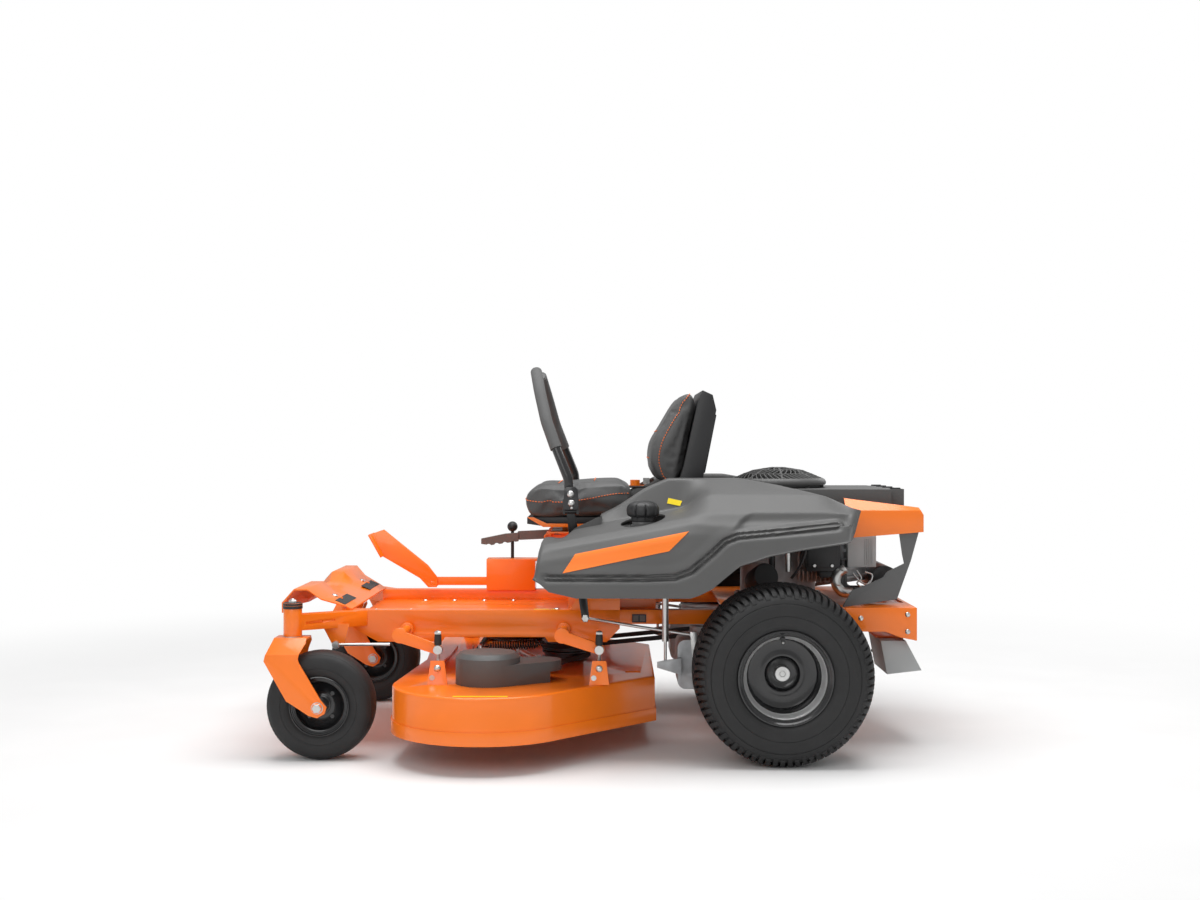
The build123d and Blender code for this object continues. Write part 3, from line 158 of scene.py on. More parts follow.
MATERIALS = {
    "orange_paint": surface("orange_paint", (0.96, 0.195, 0.006), 0.34, 0.05, 420, 0.05, coat=0.35,
                            tint=0.03),
    "black_paint": surface("black_paint", (0.012, 0.012, 0.013), 0.32, 0.06, 420, 0.05, coat=0.3),
    "dark_plastic": surface("dark_plastic", (0.085, 0.085, 0.084), 0.5, 0.05, 1400, 0.14, tint=0.05),
    "black_plastic": surface("black_plastic", (0.014, 0.014, 0.015), 0.46, 0.06, 1400, 0.12),
    "tyre_rubber": surface("tyre_rubber", (0.011, 0.011, 0.0115), 0.62, 0.08, 520, 0.3, tint=0.18,
                           patch=26),
    "rim_paint": surface("rim_paint", (0.01, 0.01, 0.011), 0.24, 0.05, 300, 0.03, coat=0.5),
    "zinc": surface("zinc", (0.62, 0.62, 0.61), 0.32, 0.1, 900, 0.08, metallic=1.0, tint=0.12, patch=60),
    "cast_metal": surface("cast_metal", (0.42, 0.43, 0.44), 0.55, 0.1, 700, 0.4, metallic=0.75, tint=0.16,
                          patch=40),
    "blade_steel": surface("blade_steel", (0.1, 0.1, 0.105), 0.42, 0.12, 500, 0.15, metallic=0.9, tint=0.2,
                           patch=30),
    "seat_vinyl": surface("seat_vinyl", (0.075, 0.075, 0.075), 0.52, 0.05, 900, 0.1, tint=0.06, cell=620,
                          cell_bump=0.5),
    "foam": surface("foam", (0.095, 0.095, 0.095), 0.78, 0.06, 1100, 0.35, tint=0.1),
    "belt_rubber": surface("belt_rubber", (0.02, 0.02, 0.02), 0.7, 0.08, 800, 0.3),
    "grip_grey": surface("grip_grey", (0.13, 0.105, 0.095), 0.6, 0.06, 1200, 0.2),
    "bright_steel": surface("bright_steel", (0.62, 0.62, 0.61), 0.3, 0.06, 700, 0.04, metallic=1.0,
                            tint=0.06, patch=50),
    "yellow_label": surface("yellow_label", (0.95, 0.72, 0.0), 0.4, 0.04, 500, 0.02, tint=0.02),
    "white_label": surface("white_label", (0.72, 0.72, 0.7), 0.45, 0.04, 500, 0.02, tint=0.03),
    "grip_tape": surface("grip_tape", (0.05, 0.05, 0.052), 0.85, 0.05, 1800, 0.9, tint=0.15, patch=400),
    "orange_plastic": surface("orange_plastic", (0.94, 0.195, 0.007), 0.42, 0.04, 1200, 0.06, tint=0.02),
    "orange_thread": surface("orange_thread", (0.95, 0.17, 0.02), 0.6, 0.05, 2000, 0.4, tint=0.12,
                             patch=500),
    "machined_band": surface("machined_band", (0.74, 0.74, 0.74), 0.36, 0.05, 900, 0.03, metallic=0.7,
                             patch=30),
    "guard_grey": surface("guard_grey", (0.1, 0.1, 0.1), 0.42, 0.05, 420, 0.06, coat=0.15, tint=0.04),
    "light_grey": surface("light_grey", (0.4, 0.41, 0.41), 0.5, 0.06, 700, 0.15, metallic=0.2, tint=0.08),
    # Near-black matte finish for the dish under the engine screen: painted shade, not the colour of a part.
    "painted_shade_black": surface("painted_shade_black", (0.006, 0.006, 0.006), 0.8, 0.05, 300, 0.1),
}


# ---------------------------------------------------------------- mesh helpers

def shade(obj, angle=35):
    """Smooth shading that keeps edges sharper than the angle."""
    bpy.context.view_layer.objects.active = obj
    for other in bpy.context.selected_objects:
        other.select_set(False)
    obj.select_set(True)
    bpy.ops.object.shade_smooth_by_angle(angle=math.radians(angle))
    obj.select_set(False)


def finish_piece(obj, body, material, angle=35, replaces=()):
    """Material, slot, shading and body of a new piece."""
    obj.data.materials.clear()
    obj.data.materials.append(MATERIALS[material])
    shade(obj, angle)
    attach(obj, body)
    if replaces:
        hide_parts(*replaces)
    return obj


def make_object(name, verts, faces):
    """Object from vehicle-millimetre vertices."""
    mesh = bpy.data.meshes.new(name)
    mesh.from_pydata([at(*v) for v in verts], [], faces)
    mesh.validate()
    obj = bpy.data.objects.new(name, mesh)
    bpy.context.scene.collection.objects.link(obj)
    tidy = bmesh.new()
    tidy.from_mesh(mesh)
    bmesh.ops.remove_doubles(tidy, verts=tidy.verts, dist=1e-6)
    bmesh.ops.recalc_face_normals(tidy, faces=tidy.faces)
    tidy.to_mesh(mesh)
    tidy.free()
    return obj


def add_bevel(obj, width, segments=2, angle=30):
    modifier = obj.modifiers.new("bevel", "BEVEL")
    modifier.width = width / 1000
    modifier.segments = segments
    modifier.limit_method = "ANGLE"
    modifier.angle_limit = math.radians(angle)
    modifier.harden_normals = False
    return modifier


def bake_modifiers(obj):
    """Replaces the mesh by its evaluated form."""
    bpy.context.view_layer.update()
    graph = bpy.context.evaluated_depsgraph_get()
    mesh = bpy.data.meshes.new_from_object(obj.evaluated_get(graph))
    obj.modifiers.clear()
    obj.data = mesh


def refined(node, material, width=1.5, name=None, segments=2, angle=35):
    """The CAD node's own shape with softened edges, in place of the node."""
    source = frame["nodes"][node]
    mesh = source.data.copy()
    soft = bmesh.new()
    soft.from_mesh(mesh)
    bmesh.ops.remove_doubles(soft, verts=soft.verts, dist=2e-6)
    bmesh.ops.dissolve_limit(soft, angle_limit=math.radians(1.5), verts=soft.verts, edges=soft.edges)
    soft.to_mesh(mesh)
    soft.free()
    obj = bpy.data.objects.new(name or node + "_surface", mesh)
    bpy.context.scene.collection.objects.link(obj)
    if width:
        add_bevel(obj, width, segments)
        bake_modifiers(obj)
    return finish_piece(obj, source["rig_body"], material, angle=angle, replaces=(node,))


def prism(name, outline, axis, low, high, body, material, bevel=0.8, angle=35, replaces=()):
    """Extruded outline. axis "y": outline is (x, z); "z": (x, y); "x": (y, z)."""
    order = {"y": lambda a, b, c: (a, c, b), "z": lambda a, b, c: (a, b, c), "x": lambda a, b,
             c: (c, a, b)}[axis]
    count = len(outline)
    verts = [order(a, b, low) for a, b in outline] + [order(a, b, high) for a, b in outline]
    faces = [list(range(count)), list(range(2 * count - 1, count - 1, -1))]
    faces += [[i, (i + 1) % count, count + (i + 1) % count, count + i] for i in range(count)]
    obj = make_object(name, verts, faces)
    if bevel:
        add_bevel(obj, bevel)
        bake_modifiers(obj)
    return finish_piece(obj, body, material, angle=angle, replaces=replaces)


def frame_of(direction):
    """Two unit vectors across a direction."""
    along = Vector(direction).normalized()
    side = Vector((0, 0, 1)) if abs(along.z) < 0.9 else Vector((1, 0, 0))
    u = along.cross(side).normalized()
    return u, along.cross(u).normalized()


def lathe_mesh(profile, centre, direction, steps=64, closed=False):
    """Vertices and faces of a profile of (radius, distance along) turned about an axis."""
    u, v = frame_of(direction)
    along = Vector(direction).normalized()
    verts = []
    faces = []
    for step in range(steps):
        turn = 2 * math.pi * step / steps
        out = u * math.cos(turn) + v * math.sin(turn)
        verts += [tuple(Vector(centre) + out * r + along * h) for r, h in profile]
    count = len(profile)
    spans = count if closed else count - 1
    for step in range(steps):
        a = step * count
        b = (step + 1) % steps * count
        for i in range(spans):
            j = (i + 1) % count
            faces.append([a + i, a + j, b + j, b + i])
    return verts, faces


def lathe(name, profile, centre, direction, body, material, steps=64, angle=35, replaces=()):
    verts, faces = lathe_mesh(profile, centre, direction, steps)
    obj = make_object(name, verts, faces)
    return finish_piece(obj, body, material, angle, replaces)


def tube_mesh(path, radius, sides=16, cap=True):
    """Vertices and faces of a round tube along a list of points."""
    points = [Vector(p) for p in path]
    radii = radius if isinstance(radius, (list, tuple)) else [radius] * len(points)
    tangents = []
    for i in range(len(points)):
        before = points[max(i - 1, 0)]
        after = points[min(i + 1, len(points) - 1)]
        tangents.append((after - before).normalized())
    u, _ = frame_of(tangents[0])
    verts = []
    for point, tangent, r in zip(points, tangents, radii):
        u = (u - tangent * u.dot(tangent)).normalized()
        v = tangent.cross(u)
        for s in range(sides):
            turn = 2 * math.pi * s / sides
            verts.append(tuple(point + (u * math.cos(turn) + v * math.sin(turn)) * r))
    faces = []
    for i in range(len(points) - 1):
        for s in range(sides):
            t = (s + 1) % sides
            faces.append([i * sides + s, i * sides + t, (i + 1) * sides + t, (i + 1) * sides + s])
    if cap:
        faces.append(list(range(sides))[::-1])
        faces.append([(len(points) - 1) * sides + s for s in range(sides)])
    return verts, faces


def tube(name, path, radius, body, material, sides=16, angle=50, replaces=()):
    verts, faces = tube_mesh(path, radius, sides)
    obj = make_object(name, verts, faces)
    return finish_piece(obj, body, material, angle=angle, replaces=replaces)


def smooth_path(points, per_span=8):
    """Catmull-Rom points through the given ones."""
    p = [Vector(q) for q in points]
    p = [p[0] * 2 - p[1]] + p + [p[-1] * 2 - p[-2]]
    out = []
    for i in range(1, len(p) - 2):
        for s in range(per_span):
            t = s / per_span
            out.append(0.5 * (
                2 * p[i] + (p[i + 1] - p[i - 1]) * t
                + (2 * p[i - 1] - 5 * p[i] + 4 * p[i + 1] - p[i + 2]) * t * t
                + (3 * p[i] - p[i - 1] - 3 * p[i + 1] + p[i + 2]) * t ** 3
            ))
    return out + [p[-2]]


def merged(name, parts, body, material, angle=35, replaces=(), bevel=0):
    """One object out of several (verts, faces) pairs."""
    verts = []
    faces = []
    for more_verts, more_faces in parts:
        base = len(verts)
        verts += more_verts
        faces += [[base + i for i in face] for face in more_faces]
    obj = make_object(name, verts, faces)
    if bevel:
        add_bevel(obj, bevel)
        bake_modifiers(obj)
    return finish_piece(obj, body, material, angle, replaces)


def box_mesh(x0, x1, y0, y1, z0, z1):
    verts = [(x, y, z) for x in (x0, x1) for y in (y0, y1) for z in (z0, z1)]
    return verts, [[0, 1, 3, 2], [4, 6, 7, 5], [0, 4, 5, 1], [2, 3, 7, 6], [0, 2, 6, 4], [1, 5, 7, 3]]


def hex_mesh(centre, direction, radius, height, sides=6):
    """Bolt head with a small chamfer."""
    profile = [(0, 0), (radius, 0), (radius, height * 0.75), (radius * 0.84, height), (0, height)]
    return lathe_mesh(profile, centre, direction, steps=sides)


def dome_mesh(centre, direction, radius, height, steps=20):
    """Round carriage-bolt head."""
    profile = [(radius, 0), (radius, height * 0.2), (radius * 0.8, height * 0.65),
               (radius * 0.45, height * 0.93), (0, height)]
    return lathe_mesh(profile, centre, direction, steps)

# ---------------------------------------------------------------- carried-over nodes

def islands(mesh):
    """Face lists of the loose parts of a mesh, each with the part's box in vehicle millimetres."""
    work = bmesh.new()
    work.from_mesh(mesh)
    work.faces.ensure_lookup_table()
    seen = set()
    found = []
    for face in work.faces:
        if face.index in seen:
            continue
        stack = [face]
        seen.add(face.index)
        part = []
        while stack:
            one = stack.pop()
            part.append(one.index)
            for edge in one.edges:
                for other in edge.link_faces:
                    if other.index not in seen:
                        seen.add(other.index)
                        stack.append(other)
        spots = [(v.co - SHIFT) * 1000 for i in part for v in work.faces[i].verts]
        low = [min(s[k] for s in spots) for k in range(3)]
        high = [max(s[k] for s in spots) for k in range(3)]
        found.append((part, low, high))
    work.free()
    return found


def recolour(obj, choose):
    """Gives each loose part of a piece the material that choose(low, high) names."""
    for part, low, high in islands(obj.data):
        name = choose(low, high)
        if name is None:
            continue
        material = MATERIALS[name]
        if material.name not in [m.name for m in obj.data.materials]:
            obj.data.materials.append(material)
        index = [m.name for m in obj.data.materials].index(material.name)
        for i in part:
            obj.data.polygons[i].material_index = index


def drop_parts(obj, choose):
    """Removes the loose parts of a piece that choose(low, high) picks."""
    doomed = [i for part, low, high in islands(obj.data) if choose(low, high) for i in part]
    work = bmesh.new()
    work.from_mesh(obj.data)
    work.faces.ensure_lookup_table()
    bmesh.ops.delete(work, geom=[work.faces[i] for i in doomed], context="FACES")
    work.to_mesh(obj.data)
    work.free()


for node in ("frame_left", "frame_right", "rear_frame", "foot_guard", "floor_pan",
             "lift_shaft_front", "lift_shaft_rear", "seat_plate"):
    refined(node, "orange_paint", 1.2)
panels = refined("rear_panels", "orange_paint", 1.2)
recolour(panels, lambda low, high: "guard_grey" if high[2] < 600 and high[1] - low[1] < 20
         else ("light_grey" if high[2] < 300 else None))
refined("deck_shell", "orange_paint", 2.0)
refined("foot_pedal", "orange_paint", 1.0)
for node in ("caster_fork_left", "caster_fork_right"):
    refined(node, "orange_paint", 1.2)
for node in ("seat_shell", "battery", "fuel_tank", "discharge_chute"):
    refined(node, "black_plastic", 3.0)
refined("belt_covers", "dark_plastic", 4.0, segments=3)
refined("spindle_housings", "cast_metal", 1.5)
def engine_castings():
    """Crankcase and heads in cast metal, with the muffler and its pipe in black."""
    castings = refined("engine_block", "cast_metal", 1.5)
    castings.data.materials.append(MATERIALS["black_paint"])
    for face in castings.data.polygons:
        spot = (face.center - SHIFT) * 1000
        if spot.x > HEADS_REAR or (spot.x > PIPE_FRONT and spot.y < HEADS_LEFT):
            face.material_index = 1


# The muffler lies behind the cylinder heads, and its pipe outside the left one.
HEADS_REAR = 751
PIPE_FRONT = 640
HEADS_LEFT = -206.5
engine_castings()
for node in ("transaxle_left", "transaxle_right"):
    casting = refined(node, "cast_metal", 1.5)
    recolour(casting, lambda low, high: "bright_steel" if high[0] - low[0] < 12 else None)
for node in ("control_arm_left", "control_arm_right"):
    refined(node, "black_paint", 0.8)
for node in ("pump_lever_left", "pump_lever_right"):
    refined(node, "zinc", 0.6)
for node in ("lap_bar_left", "lap_bar_right", "lift_lever"):
    refined(node, "grip_grey" if node == "lift_lever" else "black_paint", 0)

def sloping_belt():
    """The drive belt, carried over from its CAD node on a mesh of its own."""
    belt = refined("drive_belt", "belt_rubber", 0)
    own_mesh(belt)


sloping_belt()

CARRIED = {
    "crankshaft": "zinc", "deck_belt": "belt_rubber", "belt_idler": "zinc",
    "damper_left": "bright_steel", "damper_right": "bright_steel", "control_rod_left": "bright_steel",
    "control_rod_right": "bright_steel", "brake_lever": "black_plastic", "ignition_key": "zinc",
    "pto_knob": "orange_plastic", "blade_left": "blade_steel", "blade_middle": "blade_steel",
    "blade_right": "blade_steel", "lap_grip_left": "foam", "lap_grip_right": "foam",
}
for node, material in CARRIED.items():
    obj = frame["nodes"][node]
    obj.data.materials.clear()
    obj.data.materials.append(MATERIALS[material])

# ---------------------------------------------------------------- wheels

REAR = {"left": (468, -475, 229), "right": (468, 475, 229)}
CASTER = {"left": (-727, -445, 141), "right": (-727, 445, 141)}
OUT = {"left": -1, "right": 1}


def spline(points, per_span=5):
    """Smooth curve through (a, b) points."""
    path = smooth_path([(a, b, 0) for a, b in points], per_span)
    return [(p.x, p.y) for p in path]


def rear_tyre(side):
    """Turf tyre: ringed side walls, a carcass, and rows of moulded lugs."""
    half = spline([
        (106, 96), (120, 99), (124, 103), (134, 109.5), (150, 114), (157, 115.5), (158, 113.5),
        (160, 115.5),
        (176, 115), (187, 113.5), (189, 111.5), (191, 112.5), (200, 109), (209, 101), (215, 88), (219, 66),
        (220.5, 36), (221, 0),
    ])
    profile = half + [(r, -h) for r, h in reversed(half[:-1])]
    parts = [lathe_mesh(profile, REAR[side], (0, 1, 0), steps=144)]
    count = 72
    shoulder = [(58, 229), (74, 228), (88, 224.5), (98, 218.5), (105, 211), (108.5, 204)]
    foot = [(58, 218), (74, 216), (88, 212), (98, 207), (104, 202), (107, 200)]
    for edge in (-1, 1):
        for index in range(count):
            reach = len(shoulder) if index % 2 else len(shoulder) - 1
            slants = [0.0, 0.25, 0.5, 0.62, 0.66, 0.66]
            parts.append(lug(REAR[side], edge, index * 5.0, 1.55, shoulder[:reach], foot[:reach], slants))
    rows = [(-46, 1), (-29, -1), (-10, 1), (10, -1), (29, 1), (46, -1)]
    for row, (y, lean) in enumerate(rows):
        for index in range(count):
            turn = index * 5.0 + (2.5 if row % 2 else 0)
            top = [(y - 7, 229), (y + 7, 229)]
            base = [(y - 8, 218), (y + 8, 218)]
            parts.append(lug(REAR[side], 1, turn, 1.6, top, base, [0.0, 0.9 * lean]))
    name = "rear_tyre_" + side + "_tread"
    return merged(name, parts, "rear_wheel_" + side, "tyre_rubber", angle=40,
                  replaces=("rear_tyre_" + side,))


def lug(centre, edge, turn, half_angle, top, base, slants):
    """One moulded block along a line of (offset, radius) points."""
    verts = []
    for (y, r), (y_low, r_low), slant in zip(top, base, slants):
        for radius, across, width in ((r_low, y_low, half_angle * 1.2), (r, y, half_angle), ):
            for sign in (-1, 1):
                angle = math.radians(turn + slant * 3.4 + sign * width)
                verts.append((centre[0] + radius * math.sin(angle), centre[1] + edge * across,
                              centre[2] + radius * math.cos(angle)))
    faces = []
    count = len(top)
    for i in range(count - 1):
        a = 4 * i
        b = a + 4
        faces += [[a + 2, a + 3, b + 3, b + 2], [a, a + 2, b + 2, b], [a + 3, a + 1, b + 1, b + 3]]
    last = 4 * (count - 1)
    faces += [[0, 1, 3, 2], [last, last + 2, last + 3, last + 1]]
    return verts, faces


def rear_rim(side):
    """Gloss black rim with its machined band, hub dish, hub bolt and valve."""
    centre = REAR[side]
    out = (0, OUT[side], 0)
    body = "rear_wheel_" + side
    face = [(106, 92), (121.2, 99), (122, 102), (121, 104.5), (118.5, 105), (115.5, 103), (113, 99),
            (110.5, 97.5), (109.5, 94), (108, 92)]
    well = [(95.5, 62), (93.5, 58), (92.5, 40), (91.5, 26), (88, 20), (80, 17.5), (64, 17), (56, 18),
            (50, 20), (46, 19), (44, 13), (41, 7), (34, 3), (24, 2), (0, 2)]
    back = [(0, -8), (60, -4), (88, -2), (90, -60), (102, -92), (119, -99), (121.5, -103), (118, -105),
            (100, -92), (86, -62), (84, -8)]
    rim = [lathe_mesh(face, centre, out, 96), lathe_mesh(well, centre, out, 96),
           lathe_mesh(back, centre, out, 96)]
    merged("rear_rim_" + side + "_dish", rim, body, "rim_paint", replaces=("rear_rim_" + side,))
    band = [(108, 92), (106.5, 91), (105.5, 84), (104, 82.5), (103, 79), (98, 68), (96.5, 63), (95.5, 62)]
    lathe("rear_rim_" + side + "_band", band, centre, out, body, "machined_band", 96)
    bolt = [(20, -2), (20, 21), (18.5, 23.5), (8, 24), (6.5, 22.5), (0, 22.5)]
    lathe("rear_rim_" + side + "_hub_bolt", bolt, centre, out, body, "bright_steel", 40)
    shaft = [(16, -70), (16, -200), (0, -200)]
    lathe("rear_rim_" + side + "_axle", [(32, -8), (32, -68), (30, -70), (16, -70)] + shaft[1:], centre,
          out, body,
          "zinc", 32)
    sx, sy, sz = centre
    valve = [(7, 0), (7, 3), (4.5, 5), (4, 15), (4.6, 15.5), (4.6, 22), (0, 22)]
    spot = (sx - 6, sy + OUT[side] * 78, sz + 98)
    lathe("rear_rim_" + side + "_valve", valve, spot, out, body, "black_plastic", 16)
    rivet = dome_mesh((sx + 2, sy + OUT[side] * 18, sz + 80), out, 4, 3)
    merged("rear_rim_" + side + "_plug", [rivet], body, "zinc")


def caster_wheel(side):
    """Smooth caster tyre, ringed black rim, hub and bearing."""
    centre = CASTER[side]
    body = "caster_wheel_" + side
    half = spline([
        (65, 37), (73, 38), (78, 40), (84, 44.5), (92, 48), (98, 49.4), (99.5, 48.6), (101, 49.6),
        (112, 49), (124, 45), (131, 39.5), (132.5, 37.5), (134.5, 36), (138.5, 27), (140.6, 14), (141, 0),
    ])
    profile = half + [(r, -h) for r, h in reversed(half[:-1])]
    lathe("caster_tyre_" + side + "_wall", profile, centre, (0, 1, 0), body, "tyre_rubber", 96, angle=28,
          replaces=("caster_tyre_" + side,))
    ring = [(64, 33), (75, 38), (77.5, 40), (77.5, 42.5), (75, 43.5), (73, 41), (70.5, 40.5), (69.5, 38.5),
            (67, 38),
            (66, 35.5), (63, 34), (61.5, 24), (59, 19), (50, 14), (40, 9), (30, 8.5), (26, 10), (25, 13),
            (22, 14)]
    hub = [(22, 14), (22, 56), (20, 57.5), (14, 57.5), (13.5, 55), (9, 55)]
    parts = []
    for out in ((0, -1, 0), (0, 1, 0)):
        parts += [lathe_mesh(ring + hub[1:], centre, out, 72)]
    for index in range(4):
        turn = math.radians(45 + 90 * index)
        x = centre[0] + 42 * math.cos(turn)
        z = centre[2] + 42 * math.sin(turn)
        for out in (-1, 1):
            parts.append(hex_mesh((x, centre[1] + out * 9, z), (0, out, 0), 7, 5))
    merged("caster_rim_" + side + "_dish", parts, body, "rim_paint", replaces=("caster_rim_" + side,))
    seal = []
    for out in (-1, 1):
        seal.append(lathe_mesh([(13.4, 0), (13.4, 1.4), (9.5, 1.4)],
                               (centre[0], centre[1] + out * 55.2, centre[2]),
                               (0, out, 0), 32))
    merged("caster_rim_" + side + "_bearing", seal, body, "zinc")


def caster_hardware(side):
    """Axle bolt heads, dust cap, nut and washer of a caster."""
    fork = "caster_" + side
    x, y, z = CASTER[side]
    heads = []
    for out in (-1, 1):
        face = y + out * 65
        washer = [(15.5, 0), (15.5, 1.6), (0, 1.6)]
        heads.append(lathe_mesh(washer, (x, face, z), (0, out, 0), 32))
        heads.append(hex_mesh((x, face, z), (0, out, 0), 13.8, 9.8))
    merged("caster_bolt_" + side, heads, fork, "bright_steel")
    px = x - 76
    cap = [(25.6, 0), (25.6, 7), (24.8, 8), (25.6, 9), (25.4, 14), (23, 15.4), (0, 15.4)]
    lathe("caster_cap_" + side, cap, (px, y, 390.3), (0, 0, 1), fork, "black_plastic", 40)
    nut = [hex_mesh((px, y, 404.8), (0, 0, 1), 11, 8), dome_mesh((px, y, 412.5), (0, 0, 1), 6, 4)]
    merged("caster_nut_" + side, nut, fork, "zinc")
    washer = [(26, 0), (26, 2.2), (0, 2.2)]
    lathe("caster_washer_" + side, washer, (px, y, 316.6), (0, 0, 1), fork, "bright_steel", 40)


for side in ("left", "right"):
    rear_tyre(side)
    rear_rim(side)
    caster_wheel(side)
    caster_hardware(side)

# ---------------------------------------------------------------- fenders

FENDER_LINE = [
    (-169, 480), (-155, 572), (-128, 574), (-110, 570), (-92, 574), (-70, 596), (40, 648), (120, 700),
    (180, 727),
    (373, 727), (480, 708), (588, 683), (655, 653), (634, 572), (510, 553), (430, 537), (354, 511),
    (316, 480), (283, 452), (250, 436), (228, 429), (-60, 429), (-130, 445),
]
GROOVE = [(-140, 477), (120, 477), (190, 480), (232, 496), (285, 540), (318, 571), (350, 583), (450, 592),
          (602, 608)]
INSET = [(330, 606), (372, 640), (410, 676), (470, 690), (620, 672)]
# Points down the inner edge of the fender's grid, over its top, and points down its flank.
INNER_TOP = 40
FLANK_POINTS = 110
# How far from the centre plane the fender's front starts, beside the seat and the lap bar.
FRONT_INNER = 385


def crossings(outline, x):
    """Lowest and highest Z of a closed outline at x."""
    found = []
    for i, (x0, z0) in enumerate(outline):
        x1, z1 = outline[(i + 1) % len(outline)]
        if x0 != x1 and min(x0, x1) - 1e-6 <= x <= max(x0, x1) + 1e-6:
            found.append(z0 + (z1 - z0) * (x - x0) / (x1 - x0))
    return min(found), max(found)


def line_distance(line, x, z):
    """Signed distance from a polyline, positive above it."""
    best = 1e9
    sign = 1
    for (x0, z0), (x1, z1) in zip(line, line[1:]):
        dx, dz = x1 - x0, z1 - z0
        t = max(0.0, min(1.0, ((x - x0) * dx + (z - z0) * dz) / (dx * dx + dz * dz)))
        gap = math.hypot(x - x0 - dx * t, z - z0 - dz * t)
        if gap < best:
            best = gap
            sign = 1 if dx * (z - z0) - dz * (x - x0) > 0 else -1
    return best * sign


def step(value, low, high):
    t = max(0.0, min(1.0, (value - low) / (high - low)))
    return t * t * (3 - 2 * t)


def flank_relief(x, z):
    """How far the side face stands out, in millimetres, at a point of its side view."""
    d = line_distance(GROOVE, x, z)
    out = 3.5 * (1 - step(d, -14, -7)) - 3.0 * step(d, 14, 40) * (1 - step(d, 60, 110))
    for middle in (-3, 8):
        out -= 8.5 * max(0.0, 1 - abs(d - middle) / 4.6) ** 0.8
    inner = line_distance(INSET, x, z)
    behind = step(x, 330, 372)
    out -= 13 * behind * step(-inner, 0, 16) * step(d, 10, 22)
    return out * step(x, -165, -120) * (1 - step(x, 622, 650))


def fender_section(x):
    """(y, z) points over the fender at x: a low shelf round the filler, a full flank behind it."""
    low, high = crossings(FENDER_LINE, x)
    shelf = 618 + 0.19 * (x - 111)
    front = [(250, high), (345, high), (374, shelf + 12), (440, shelf + 3), (500, shelf - 8),
             (528, shelf - 24),
             (549, shelf - 52), (557, shelf - 92), (560, 470), (560, low)]
    rear = [(250, high), (345, 727), (412, 700), (440, 688), (512, 640), (541, 610), (552, 585), (558, 520),
            (560, 470), (560, low)]
    blend = step(x, 212, 296)
    points = []
    for (y0, z0), (y1, z1) in zip(front, rear):
        z = z0 + (z1 - z0) * blend
        points.append(Vector((x, y0 + (y1 - y0) * blend, max(low, min(high, z)))))
    return [Vector((x, 250, low))], points


def resample(points, count):
    """Evenly spaced points along a polyline."""
    spans = [(b - a).length for a, b in zip(points, points[1:])]
    total = sum(spans)
    out = []
    for i in range(count):
        want = total * i / (count - 1)
        k = 0
        while k < len(spans) - 1 and want > spans[k]:
            want -= spans[k]
            k += 1
        out.append(points[k].lerp(points[k + 1], min(1.0, want / max(spans[k], 1e-9))))
    return out


def fender_grid():
    """Grid of (x, y outwards, z) points over the moulded fender, not yet smoothed."""
    stations = [-169, -166, -162, -158, -155] + [-150 + 5 * i for i in range(30)]
    stations += [-0.2, 0.2] + [5 * i for i in range(1, 126)] + [628, 632, 636, 641, 646, 651, 655]
    grid = []
    for x in stations:
        foot, points = fender_section(x)
        column = resample(foot + [points[0]], 11)[:-1] + resample(points, INNER_TOP + FLANK_POINTS)
        grid.append(column)
    return grid


def smoothed(grid, rounds):
    """Laplace smoothing that leaves the rim of the grid."""
    rows = len(grid)
    columns = len(grid[0])
    for _ in range(rounds):
        fresh = [column[:] for column in grid]
        for i in range(1, rows - 1):
            for j in range(1, columns - 1):
                around = grid[i - 1][j] + grid[i + 1][j] + grid[i][j - 1] + grid[i][j + 1]
                fresh[i][j] = grid[i][j] * 0.4 + around * 0.15
        grid = fresh
    return grid


def relieved_grid():
    """The smoothed grid, with its front trimmed beside the seat and the side relief pressed in."""
    grid = smoothed(fender_grid(), 5)
    for column in grid:
        for point in column:
            if point.x < 0:
                point.y = max(point.y, FRONT_INNER)
        for point in column[20:]:
            if point.y > 500:
                point.y += flank_relief(point.x, point.z) * step(point.y, 500, 535)
    return grid


FENDER_GRID = relieved_grid()


def fender_skin(side):
    """Moulded fender as a thick skin over the grid."""
    sign = OUT[side]
    rows = len(FENDER_GRID)
    columns = len(FENDER_GRID[0])
    verts = [(p.x, sign * p.y, p.z) for column in FENDER_GRID for p in column]
    faces = []
    for i in range(rows - 1):
        for j in range(columns - 1):
            a = i * columns + j
            face = [a, a + 1, a + columns + 1, a + columns]
            faces.append(face if sign < 0 else face[::-1])
    obj = make_object("fender_" + side + "_skin", verts, faces)
    flank = [face for face in obj.data.polygons if abs(face.normal.y) > 0.9 and face.center.z < 0.55]
    outward = sum(face.normal.y for face in flank if abs(face.center.y - SHIFT.y) > 0.5)
    if outward * sign < 0:
        obj.data.flip_normals()
    thick = obj.modifiers.new("wall", "SOLIDIFY")
    thick.thickness = 0.004
    thick.offset = -1
    bake_modifiers(obj)
    return obj


def carve(obj, verts, faces):
    """Cuts a closed shape out of a mesh."""
    tool = make_object("cutter", verts, faces)
    cut = obj.modifiers.new("cut", "BOOLEAN")
    cut.operation = "DIFFERENCE"
    cut.solver = "EXACT"
    cut.object = tool
    bake_modifiers(obj)
    bpy.data.objects.remove(tool)


